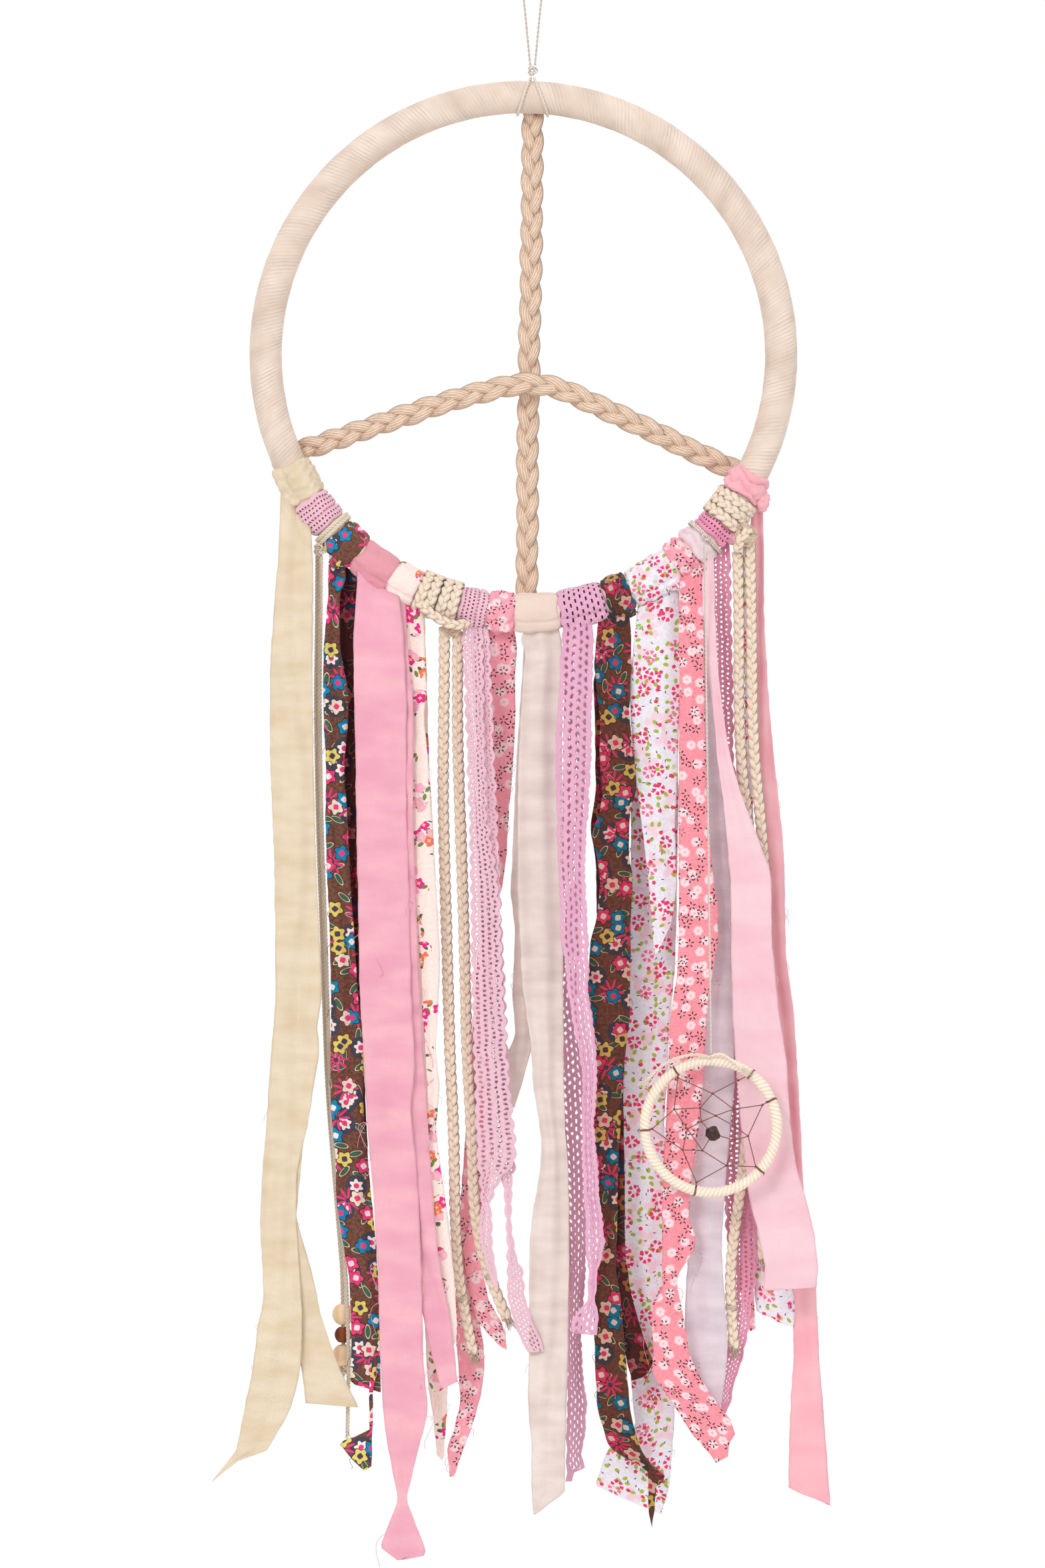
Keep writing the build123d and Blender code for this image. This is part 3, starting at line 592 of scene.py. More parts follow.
def white_floral(name):
    """Rings of red petals, lime leaves and small dark marks scattered on white."""
    finish, colour, height = printed(name, (247, 243, 249), (234, 228, 240))
    colour = finish.lay(colour, finish.blossom(finish.spots(15, 21), 5.2, 0.3, 3), (248, 214, 226), soft=0.9)
    leaf = finish.spots(5.2, 6)
    colour = finish.lay(colour, finish.shown(leaf, finish.leaf(leaf, 1.5, 1.5), 0.5), LIME)
    wreath = finish.spots(13.5, 14)
    petals = (finish.bearing(wreath) * 6).cosine()
    ring = 1.0 - abs(finish.far(*wreath[:2]) - 2.5)
    reds = finish.colours(wreath[2], [(0, (238, 56, 112)), (0.7, (246, 120, 156))])
    colour = finish.lay(colour, ring.least(petals + 0.45), reds)
    berry = finish.spots(6.8, 33)
    inside = finish.shown(berry, finish.blossom(berry, 1.25, 0.12, 5), 0.62)
    colour = finish.lay(colour, inside, (236, 60, 104))
    mark = finish.spots(4.4, 19)
    inside = finish.shown(mark, finish.leaf(mark, 0.9, 3.2), 0.55)
    colour = finish.lay(colour, inside, (84, 70, 96))
    return print_done(finish, colour, height)


def lace_thread(name, light, dark):
    """Knitted lace: loops of thread in rows, with painted shade where the loops dip."""
    finish = Finish(name, light, 0.85, 0.25)
    u, v, _ = finish.split(finish.where)
    knit = v.wave(1.3) * u.wave(1.0) + finish.noise(0.6, 3)
    # Painted shade: darker where the knit's relief is low, between the loops.
    colour = finish.mix(knit.ramp(0.7, -0.9), light, dark)
    return finish.done(colour, knit.ramp(-4.0, 2.0), knit, 0.22)


def bead_wood(name, light, dark):
    """Turned wood, its grain running up through the bead."""
    finish = Finish(name, light, 0.5, coordinates="object")
    x, _, _ = finish.split(finish.where)
    ring = (x * 1.1 + finish.noise(4, 3, (1, 1, 0.2))).sine()
    grain = finish.noise(0.7, 4, (1, 1, 0.12))
    tone = finish.mix(ring.ramp(-0.8, 0.9), light, dark)
    colour = finish.mix(grain.ramp(0.48, 0.78), tone, dark)
    return finish.done(colour, grain.ramp(-0.9, 1.3), grain, 0.08)


def dark_stone(name):
    """Dark brown stone with paler flecks and a slight polish."""
    finish = Finish(name, (46, 28, 26), 0.3, coordinates="object")
    finish.shader.inputs["Coat Weight"].default_value = 0.4
    speck = finish.noise(0.8, 4)
    colour = finish.mix(speck.ramp(0.4, 0.7), (30, 20, 22), (92, 52, 44))
    return finish.done(colour, speck.ramp(-0.2, 1.6), speck, 0.05)


# ---------------------------------------------------------------- meshes
# A shape is its points in millimetres, its faces, and the place of each point on the flat cloth.


def linked(name, mesh, material, body, replaces):
    """A new piece of a mesh, riding on its body."""
    mesh.materials.append(material)
    piece = bpy.data.objects.new(name, mesh)
    scene.collection.objects.link(piece)
    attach(piece, body)
    if replaces:
        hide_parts(*replaces)
    return piece


def mesh_piece(name, shape, material, body, slot, *replaces):
    """A new piece of a shape, smooth all over."""
    points, faces, flat = shape
    mesh = bpy.data.meshes.new(name)
    mesh.from_pydata((np.asarray(points, float) * MM).tolist(), [], faces)
    form = bmesh.new()
    form.from_mesh(mesh)
    bmesh.ops.recalc_face_normals(form, faces=form.faces)
    form.to_mesh(mesh)
    form.free()
    if flat is not None:
        layer = mesh.uv_layers.new(name="cloth")
        corners = np.empty(len(mesh.loops), int)
        mesh.loops.foreach_get("vertex_index", corners)
        layer.data.foreach_set("uv", np.asarray(flat, np.float32)[corners].ravel())
    mesh.polygons.foreach_set("use_smooth", [True] * len(mesh.polygons))
    mesh.validate()
    return linked(name, mesh, material, body, replaces)


def close_flat(piece, columns, across, down):
    """Mends the flat places where a closed tube's last column meets its first, and its last row the first.
    across and down are how far the flat places have gone by then."""
    mesh = piece.data
    count = len(mesh.loops)
    corners, places = np.empty(count, int), np.empty(2 * count, np.float32)
    mesh.loops.foreach_get("vertex_index", corners)
    layer = mesh.uv_layers["cloth"].data
    layer.foreach_get("uv", places)
    places = places.reshape(-1, 4, 2)
    corners = corners.reshape(-1, 4)
    for number, gone in ((corners % columns, across), (corners // columns, down)):
        first = (number == 0) & (np.ptp(number, axis=1)[:, None] > 1)
        places[first] += gone
    layer.foreach_set("uv", places.ravel())


def grid_faces(rows, columns, wrap=False):
    """Quads of a grid of points, its rows closed on themselves if wrap is set."""
    a = np.arange(rows - 1)[:, None] * columns + np.arange(columns if wrap else columns - 1)[None]
    b = a + 1
    if wrap:
        b[:, -1] = np.arange(rows - 1) * columns
    return np.stack([a, b, b + columns, a + columns], -1).reshape(-1, 4).tolist()


def tube_faces(rings, around, capped):
    """Faces of a tube of rings of points, its ends capped or else joined to each other."""
    last = (rings - 1) * around
    if capped:
        ends = [list(range(around))[::-1], list(range(last, last + around))]
    else:
        ends = [[last + j, last + (j + 1) % around, (j + 1) % around, j] for j in range(around)]
    return grid_faces(rings, around, wrap=True) + ends


def circle(count):
    """Angles evenly round a circle."""
    return np.linspace(0, 2 * pi, count, endpoint=False)


def unit(vectors):
    """Vectors with their length made 1."""
    return vectors / np.maximum(np.linalg.norm(vectors, axis=-1, keepdims=True), 1e-12)


def distances(points):
    """How far along a line each of its points is."""
    return np.concatenate([[0], np.cumsum(np.linalg.norm(np.diff(points, axis=0), axis=1))])


def spline_points(route):
    """The smooth line of a route, in millimetres: a NURBS spline with the route's points as its control
    points."""
    curve = bpy.data.curves.new("route", "CURVE")
    curve.dimensions = "3D"
    curve.resolution_u = 24
    spline = curve.splines.new("NURBS")
    spline.points.add(len(route) - 1)
    for point, place in zip(spline.points, route):
        point.co = (*(c * MM for c in place), 1)
    spline.order_u = 3
    spline.use_endpoint_u = True
    holder = bpy.data.objects.new("route", curve)
    mesh = bpy.data.meshes.new_from_object(holder)
    points = np.array([v.co for v in mesh.vertices]) / MM
    bpy.data.objects.remove(holder)
    bpy.data.curves.remove(curve)
    bpy.data.meshes.remove(mesh)
    return points


def along(points, step):
    """Places an even step apart on a line, with their distances from its start."""
    far = distances(points)
    at = np.linspace(0, far[-1], max(3, int(far[-1] / step) + 1))
    return np.stack([np.interp(at, far, points[:, i]) for i in range(3)], 1), at


def sides(points, toward):
    """Unit directions of a line: along it, across it, and nearest to a direction that it never runs along."""
    ahead = unit(np.gradient(points, axis=0))
    toward = np.broadcast_to(np.array(toward, float), points.shape)
    deep = unit(toward - ahead * np.sum(ahead * toward, axis=1, keepdims=True))
    return ahead, np.cross(ahead, deep), deep


def steady_sides(points):
    """Two directions across a line, which turn about it as little as they can."""
    ahead = unit(np.gradient(points, axis=0))
    first = np.cross(ahead[0], (0.31, 0.87, 0.38))
    out = [unit(first)]
    for step in ahead[1:]:
        turned = out[-1] - step * np.dot(out[-1], step)
        out.append(unit(turned))
    out = np.array(out)
    return out, np.cross(ahead, out)


def strand(points, wide, deep, count, lobes=0, toward=(0.0, 1.0, 0.0)):
    """The shape of a strand along a line, its section an ellipse with shallow lobes."""
    _, across, up = sides(points, toward)
    turn = circle(count)
    far = distances(points)
    swell = 1 + LOBE_DEPTH * (np.abs(np.cos(turn * lobes / 2)) - 0.6) if lobes else np.ones(count)
    wide = np.broadcast_to(wide, len(points))[:, None] * swell
    deep = np.broadcast_to(deep, len(points))[:, None] * swell
    rings = points[:, None] + across[:, None] * (wide * np.cos(turn))[..., None]
    rings = rings + up[:, None] * (deep * np.sin(turn))[..., None]
    flat = np.stack([np.tile(turn * float(np.mean(wide)), len(points)), np.repeat(far, count)], -1)
    return rings.reshape(-1, 3), tube_faces(len(points), count, True), flat


def joined(parts):
    """Several shapes as one."""
    points, faces, flat, start = [], [], [], 0
    for some, quads, places in parts:
        points.append(some)
        faces += [[i + start for i in face] for face in quads]
        flat.append(places)
        start += len(some)
    return np.concatenate(points), faces, np.concatenate(flat)


def plait(points, diameter, pitch, seed, count=12, step=0.8, lobes=5, middle=None, flat_by=1.0):
    """Three strands plaited along a line, each with its own fine ridges. Round a tube, middle is a point on
    its axis, and the plait lies flat on it."""
    places, far = along(points, step)
    toward = (0.0, 1.0, 0.0) if middle is None else places - np.array(middle, float)
    _, across, deep = sides(places, toward)
    half = diameter / 2
    parts = []
    for k in range(3):
        turn = 2 * pi * (far / pitch + k / 3) + seed
        loose = np.array([1 + 0.06 * noise.noise((f / 17, k * 5.1, seed)) for f in far])
        line = places + across * (0.50 * half * np.sin(turn) * loose)[:, None]
        line = line + deep * (0.40 * flat_by * half * np.sin(2 * turn))[:, None]
        parts.append(strand(line, 0.50 * half * loose, 0.42 * flat_by * half, count, lobes, toward))
    return joined(parts)


def laid(points, diameter, pitch, plies, count, step):
    """Plies twisted about a line."""
    places, far = along(points, step)
    a, b = steady_sides(places)
    ply = diameter / 2 / (2 if plies == 2 else 2.15)
    parts = []
    for k in range(plies):
        turn = 2 * pi * (far / pitch + k / plies)
        shift = a * np.cos(turn)[:, None] + b * np.sin(turn)[:, None]
        parts.append(strand(places + shift * (diameter / 2 - ply), ply, ply, count, toward=a))
    return joined(parts)


def frayed(tip, ahead, radius, length, amount, seed, thick):
    """Loose fibres that spread from the cut end of a cord."""
    parts = []
    rng = np.random.default_rng(seed)
    ahead = unit(np.array(ahead, float))
    for _ in range(amount):
        side = rng.normal(size=3)
        side = unit(side - ahead * np.dot(side, ahead))
        start = np.array(tip) + side * radius * rng.uniform(0.1, 0.8) - ahead * 1.5
        reach = length * rng.uniform(0.55, 1.0)
        curl = unit(rng.normal(size=3)) * reach * 0.12
        t = np.linspace(0, 1, 9)[:, None]
        line = start + ahead * reach * t + side * reach * rng.uniform(0.05, 0.38) * t**1.6
        line = line + curl * np.sin(t * pi * rng.uniform(0.8, 2.2))
        taper = thick * (1.05 - 0.75 * t[:, 0])
        parts.append(strand(line, taper, taper, 5))
    return joined(parts)


def laid_ring(middle, ahead, radius, thick, turns):
    """A few turns of thread tied round a cord."""
    ahead = unit(np.array(ahead, float))
    a = unit(np.cross(ahead, (0.2, 0.9, 0.3)))
    b = np.cross(ahead, a)
    t = np.linspace(0, turns, int(turns * 22))[:, None]
    rise = (t - turns / 2) * thick * 1.1
    line = np.array(middle) + radius * (a * np.cos(2 * pi * t) + b * np.sin(2 * pi * t)) + ahead * rise
    out, up = steady_sides(line)
    turn = circle(6)
    rings = line[:, None] + thick / 2 * (
        out[:, None] * np.cos(turn)[None, :, None] + up[:, None] * np.sin(turn)[None, :, None]
    )
    flat = np.stack([np.tile(turn * thick, len(line)), np.repeat(t[:, 0] * 10, 6)], -1)
    return rings.reshape(-1, 3), tube_faces(len(line), 6, True), flat


def trefoil(place, size, deep=1.4):
    """The line of an overhand knot, seen from the front."""
    t = np.linspace(0, 2 * pi, 150)
    reach = 2 + np.cos(3 * t)
    knot = np.stack([reach * np.cos(2 * t), deep * np.sin(3 * t), reach * np.sin(2 * t)], 1)
    return knot * size + np.array(place)


# ---------------------------------------------------------------- braids and cords


def free_cord(route, line):
    """The first point of a limp cord's route, where it leaves the object, and its line, worked out in metres;
    neither is kept.
    """
    [c * MM for c in route[0]]
    (line * MM).tolist()


def hang_braids(material):
    """The four hanging braids, each tied with thread above its frayed end."""
    for side in ("left", "right"):
        body = f"braid_{side}_tails"
        for end in "ab":
            name = f"braid_{side}_tail_{end}"
            line = spline_points(ROUTES[name])
            shape = plait(line, TAIL_BRAID_D, 16.5, 1.3 if end == "b" else 0.2)
            tuft = frayed(line[-1], line[-1] - line[-6], 2.2, 9, 46, len(name) + ord(end), 0.28)
            tie = laid_ring(line[-14], line[-14] - line[-20], 3.0, 0.75, 3)
            piece = mesh_piece(f"{name}_plait", shape, material, body, "tail_braid", name)
            tip = mesh_piece(f"{name}_tuft", joined([tuft, tie]), material, body, "tail_braid")
            free_cord(ROUTES[name], line)


def hang_cords(material, beads):
    """The thin cord with its frayed end, and the one that holds the beads on a knot."""
    for name in ("thin_cord", "bead_cord"):
        line = spline_points(ROUTES[name])
        strands = laid(line, THIN_CORD_D, 6.5, 3, 10, 0.7)
        piece = mesh_piece(f"{name}_strands", strands, material, name, "cord", name)
        if name == "bead_cord":
            tuft = frayed((BEAD_X, BEAD_Y, BEAD_KNOT_Z - 2.2), (0, 0, -1), 0.7, 5, 14, 9, 0.16)
            knot = laid(trefoil((BEAD_X, BEAD_Y, BEAD_KNOT_Z), 0.9, 1.2), 1.9, 5, 2, 9, 0.4)
            knot = mesh_piece("bead_knot_cord", joined([knot, tuft]), material, name, "cord", "bead_knot")
            far_end, carried = "knot", beads + [knot]
        else:
            tuft = frayed(line[-1], line[-1] - line[-6], 0.9, 7, 16, 4, 0.16)
            far_end, carried = "bare", [mesh_piece(f"{name}_tuft", tuft, material, name, "cord")]
        free_cord(ROUTES[name], line)


def frame_braids(material):
    """The two braids across the hoop, the upright one starting behind the tape."""
    for name, hidden in (("vertical_braid", [(0, 9.5, -62.5)]), ("cross_braid", [])):
        line = spline_points(hidden + ROUTES[name])
        shape = plait(line, FRAME_BRAID_D, 42, 0.6, 26, 1.1, 9)
        mesh_piece(f"{name}_plait", shape, material, "hoop", "braid", name)


# ---------------------------------------------------------------- hoop, hanger and wraps


def hoop_place(angle):
    """The tube's middle, and the directions out of the hoop and along it, at an angle from straight down."""
    a = radians(angle)
    out = np.array([sin(a), 0.0, -cos(a)])
    return np.array([HOOP_X, 0.0, HOOP_Z]) + HOOP_R * out, out, np.array([cos(a), 0.0, sin(a)])


def under_wrap(x, y):
    """Height under the tube at which a strip comes out of its wrap, at x and y."""
    reach = HOOP_R + sqrt(TUCK_R**2 - min(abs(y), 0.9 * TUCK_R) ** 2)
    return HOOP_Z - sqrt(reach**2 - (x - HOOP_X) ** 2)


def tube_ring(middle, out, radius, turn):
    """Points round a tube's middle, where 0 is the way out of its hoop and a quarter turn is the front."""
    ring = middle + np.outer(radius * np.cos(turn), out)
    ring[:, 1] -= radius * np.sin(turn)
    return ring


def sleeve(first, last, radius, seed, step=0.7):
    """A closed sleeve of cloth round the hoop's tube, its rims uneven. radius(mm along, angle round the tube)
    is its outer radius."""
    length = radians(last - first) * HOOP_R
    count = max(6, int(length / step))
    turn = circle(SLEEVE_ROUND)
    rims = [
        np.array([noise.noise((1.3 * cos(t) + k * 9, 1.3 * sin(t), seed)) for t in turn]) for k in (0, 1)
    ]
    rings, flat = [], []
    for i in list(range(count + 1)) + [count, 0]:
        part = i / count
        far = length * part
        middle, out, ahead = hoop_place(first + (last - first) * part)
        if len(rings) <= count:
            full = 0.2 + 0.8 * (1 - abs(2 * part - 1) ** 4) ** 0.5
            r = np.array([SLEEVE_BORE_R + (radius(far, t) - SLEEVE_BORE_R) * full for t in turn])
        else:
            r = np.full(SLEEVE_ROUND, SLEEVE_BORE_R)
        slip = rims[0] * (1 - part) ** 3 * 1.9 + rims[1] * part**3 * 1.9
        rings.append(tube_ring(middle, out, r, turn) + np.outer(slip, ahead))
        flat.append(np.stack([np.full(SLEEVE_ROUND, far + first * 3), turn * 11.0], -1))
    return np.concatenate(rings), tube_faces(len(rings), SLEEVE_ROUND, False), np.concatenate(flat)


def lace_holes(shape, pitch, hole):
    """A sleeve with holes through its cloth in staggered rows. pitch and hole are counted in quads of the
    mesh, along the hoop and round the tube."""
    points, faces, flat = shape
    rows = len(points) // SLEEVE_ROUND - 2
    kept = []
    for number, face in enumerate(faces):
        row, column = divmod(number, SLEEVE_ROUND)
        column += row // pitch[0] % 2 * (pitch[1] // 2)
        if not (1 < row < rows - 2 and row % pitch[0] < hole[0] and column % pitch[1] < hole[1]):
            kept.append(face)
    return points, kept, flat


def hoop_tape(finish):
    """Tape wound round the whole hoop, each turn lapping over the one before."""
    around, count = 56, 1100
    turn = circle(around)
    laps = round(2 * pi * HOOP_R / TAPE_PITCH)
    rings, flat = [], []
    for i in range(count):
        part = i / count
        middle, out, _ = hoop_place(360 * part)
        wound = part * laps + turn / (2 * pi)
        lap = (wound + 0.03 * sin(part * 2 * pi * 7)) % 1.0
        rise = np.where(lap < 0.1, lap / 0.1, 1 - (lap - 0.1) / 0.9)
        rings.append(tube_ring(middle, out, TAPE_R + TAPE_LAP * rise, turn))
        flat.append(np.stack([wound * TAPE_PITCH, turn * TAPE_R], -1))
    shape = np.concatenate(rings), tube_faces(count, around, False), np.concatenate(flat)
    piece = mesh_piece("tape_winding", shape, finish, "hoop", "tape", "hoop_tape", "hoop_core")
    close_flat(piece, around, (TAPE_PITCH, 2 * pi * TAPE_R), (laps * TAPE_PITCH, 0))


def turn_line(angle, radius, turns, start=pi, slant=0.0):
    """A line round the hoop's tube, moving along it by slant millimetres a turn, and the tube's middle."""
    t = np.linspace(start, start + 2 * pi * turns, int(90 * turns))
    middle, out, ahead = hoop_place(angle)
    slip = (t - start) / (2 * pi) * slant - slant * turns / 2
    return tube_ring(middle, out, radius, t) + np.outer(slip, ahead), middle


def hanger(material):
    """The hanging loop, its knot and the sling round the hoop's top."""
    line = spline_points(HANGING_LOOP)
    strands = laid(line, HANGER_CORD_D, 5.0, 2, 9, 0.45)
    piece = mesh_piece("hanging_loop_cord", strands, material, "hanger_loop", "cord", "hanger_loop")
    free_cord(HANGING_LOOP, line)

    knot = laid(trefoil((0, 0, KNOT_Z - 0.2), 0.85, 1.3), 1.25, 4.0, 2, 8, 0.4)
    mesh_piece("hanger_knot_cord", knot, material, "hanger_knot", "cord", "hanger_knot")

    parts = []
    for side in (-1, 1):
        x = side * SLING_X
        middle = np.array([x, 0, HOOP_Z + sqrt(HOOP_R**2 - (x - HOOP_X) ** 2)])
        lean = radians(90 - side * SLING_TILT)
        up = np.array([-cos(lean), 0, sin(lean)])
        t = np.linspace(pi / 2, pi / 2 + 2 * pi, 120)
        reach = 10.0 + 0.5 * np.sin(t) ** 2 + (SLING_R - 10.5) * np.maximum(np.sin(t), 0) ** 4
        line = middle + np.outer(reach * np.sin(t), up) + np.outer(reach * np.cos(t), (0, 1, 0))
        parts.append(laid(line, 1.5, 4.5, 2, 8, 0.5))
    mesh_piece("hoop_sling_cord", joined(parts), material, "hoop_sling", "cord", "hoop_sling")


def folds(kind, seed):
    """Outer radius of a cloth wrap, by how the cloth lies on the tube."""

    def radius(far, turn):
        around = (cos(turn), sin(turn))
        lump = noise.noise((far / 8, 1.6 * around[0] + seed, 1.6 * around[1]))
        crease = 1 - abs(noise.noise((far / 5, 2.6 * around[0] + seed, 2.6 * around[1] + 4))) * 3
        band = np.exp(-(((turn - 0.50) / 0.26) ** 2))
        groove = np.exp(-(((turn - 0.98) / 0.12) ** 2))
        if kind == "smooth":
            return WRAP_R - 0.5 + 0.6 * lump + 0.25 * crease + 1.3 * band - 0.7 * groove
        if kind == "lace":
            turns = (far + 0.5 * sin(turn + seed)) % 7.2
            gap = np.exp(-(((turns - 3.6) / 0.55) ** 2))
            return WRAP_R - 0.2 + 0.5 * lump - 1.2 * gap + 0.9 * band
        if kind == "crochet":
            return WRAP_R + 0.5 * lump + 1.5 * band - 0.9 * groove
        if kind == "rolled":
            fold = abs(sin(far * 0.52 + 1.3 * sin(turn + seed) + 2.0 * lump))
            return WRAP_R - 1.5 + 2.5 * fold**0.7 + 0.5 * lump + 0.3 * crease
        fold = abs(sin(far * 0.34 + 1.7 * sin(0.7 * turn + seed) + 2.4 * lump))
        return WRAP_R - 1.0 + 1.1 * fold**0.6 + 0.6 * crease + 0.6 * lump + 1.2 * band - 0.6 * groove

    return radius


def lump(place, size, seed):
    """A crumpled knot of cloth about a point."""
    rows, columns = 30, 44
    points, flat = [], []
    for a in np.linspace(0.02, pi - 0.02, rows):
        for b in circle(columns):
            way = np.array([sin(a) * cos(b), sin(a) * sin(b), cos(a)])
            crease = 1 - 2.4 * abs(noise.noise((way[0] * 1.3 + seed, way[1] * 1.3, way[2] * 2.4)))
            points.append(np.array(place) + way * size * (0.86 + 0.16 * crease))
            flat.append((b * size[0], a * size[2]))
    return np.array(points), tube_faces(rows, columns, True), np.array(flat)


def wraps(finishes):
    """Cloth wound or knotted on the hoop's lower arc, with lumps where a strip is knotted."""
    for seed, (name, first, last, look, slot, kind) in enumerate(WRAPS):
        shape = sleeve(first, last, folds(kind, seed * 3.7), seed * 2.9, 0.5 if kind in HOLES else 0.7)
        if kind in HOLES:
            shape = lace_holes(shape, *HOLES[kind])
            # A sleeve under the lace, coloured darker than the lace: painted shade seen through its holes.
            under = sleeve(first + 0.2, last - 0.2, lambda far, turn: WRAP_R - 1.5, seed)
            mesh_piece(f"{name}_under", under, finishes[f"{look}_under"], "hoop", slot)
        mesh_piece(f"{name}_knot", shape, finishes[look], "hoop", slot, f"{name}_wrap")

    for seed, (name, angle, out_by, front, size, look, slot) in enumerate(LUMPS):
        middle, out, _ = hoop_place(angle)
        shape = lump(middle + out * out_by + np.array([0, -front, 0]), size, seed * 4.1 + 2)
        mesh_piece(f"{name}_lump", shape, finishes[look], "hoop", slot)


def plait_turns(material):
    """The hanging braids' turns round the hoop, and their knots under them."""
    for name, angles in (("braid_left", (-22.9, -20.6, -17.9, -15.7)), ("braid_right", (50.8, 53.2, 55.4))):
        parts = []
        for k, angle in enumerate(angles):
            line, middle = turn_line(angle, 10.7, 1.03, pi + 0.3 * k)
            parts.append(plait(line, 6.6, 15.5, k * 1.7, middle=middle, flat_by=0.72))
        mesh_piece(f"{name}_turns", joined(parts), material, "hoop", "tail_braid", f"{name}_wrap")


def cord_turns(material):
    """The twisted cord's turns round the hoop and its knot, with the link that leads to the beaded cord."""
    parts = []
    for angle in (-48.0, -47.1):
        line, _ = turn_line(angle, 10.6, 1.02)
        parts.append(laid(line, 2.5, 5.5, 3, 9, 0.5))
    parts.append(laid(trefoil((-116.2, -2.6, -306.6), 1.05), 2.0, 5.0, 2, 9, 0.4))
    link = [(-113.0, 6.5, -300.0), (-116.5, 12.0, -302.0), (-118.2, 15.0, -307.0), (-118.3, 15.2, -309)]
    parts.append(laid(spline_points(link), 2.3, 5.0, 2, 9, 0.5))
    mesh_piece("twisted_cord_turns", joined(parts), material, "hoop", "cord", "twisted_cord_wrap")


def plait_knots(material):
    """The hanging braids' ends tucked under their turns, and their knots."""
    left = [(-62, -8, -336), (-56, -11.5, -341.5), (-48, -12, -346.5), (-40, -11, -349), (-35.5, -5, -346)]
    right = [(118.5, -7, -295.5), (114.5, -8.5, -299), (112.4, -6, -303.5), (112.2, -3, -307.5)]
    parts = [plait(spline_points(route), 6.0, 15.5, seed) for route, seed in ((left, 0.8), (right, 0))]
    mesh_piece("braids_under", joined(parts), material, "hoop", "tail_braid")
    for name, place, size, thick in (
        ("braid_right_knot", (115.6, -5.0, -298.5), 1.75, 4.6),
        ("braid_left_knot", (-44.3, -3.0, -349.0), 1.3, 4.2),
    ):
        shape = plait(trefoil(place, size), thick, 12, 0.4, step=0.7)
        mesh_piece(name, shape, material, "hoop", "tail_braid")


# ---------------------------------------------------------------- hanging cloth


def plates(node):
    """The outlines of a node's flat plates, front first, as (depth, edges of (x, z) ends)."""
    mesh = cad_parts[node].data
    seen = {}
    for face in mesh.polygons:
        if face.normal.y > -0.9:
            continue
        corners = [tuple(round(c / MM, 2) for c in mesh.vertices[v].co) for v in face.vertices]
        for a, b in zip(corners, corners[1:] + corners[:1]):
            edge = (min(a, b), max(a, b))
            seen[edge] = seen.get(edge, 0) + 1
    rim = [edge for edge, times in seen.items() if times == 1]
    found = []
    while rim:
        group = [rim.pop()]
        ends = set(group[0])
        near = True
        while near:
            near = [edge for edge in rim if edge[0] in ends or edge[1] in ends]
            for edge in near:
                rim.remove(edge)
                group.append(edge)
                ends.update(edge)
        found.append((group[0][0][1], [((a[0], a[2]), (b[0], b[2])) for a, b in group]))
    return sorted(found, key=lambda plate: (round(plate[0], 1), -max(x for (x, _), _ in plate[1])))


def span(edges, z):
    """Left and right side of an outline at a height."""
    hits = []
    for (ax, az), (bx, bz) in edges:
        if az != bz and min(az, bz) <= z <= max(az, bz):
            hits.append(ax + (bx - ax) * (z - az) / (bz - az))
    return (min(hits), max(hits)) if hits else None


def softened(values, reach):
    """Values with their corners eased over so many places each side."""
    bell = np.exp(-np.linspace(-2, 2, 2 * reach + 1) ** 2)
    padded = np.concatenate([np.full(reach, values[0]), values, np.full(reach, values[-1])])
    return np.convolve(padded, bell / bell.sum(), "valid")


def line_noise(heights, lump, place):
    """Smooth noise down a line, its lumps so many millimetres long."""
    return np.array([noise.noise((place[0], z / lump, place[1])) for z in heights])


def cloth_noise(x, z, wide, tall, seed, skew=0.0):
    """Smooth noise over a strip, its lumps so many millimetres wide and tall."""
    return np.array([
        [noise.noise((a / wide + skew * b / wide, b / tall, seed)) for a, b in zip(*row)] for row in zip(x, z)
    ])


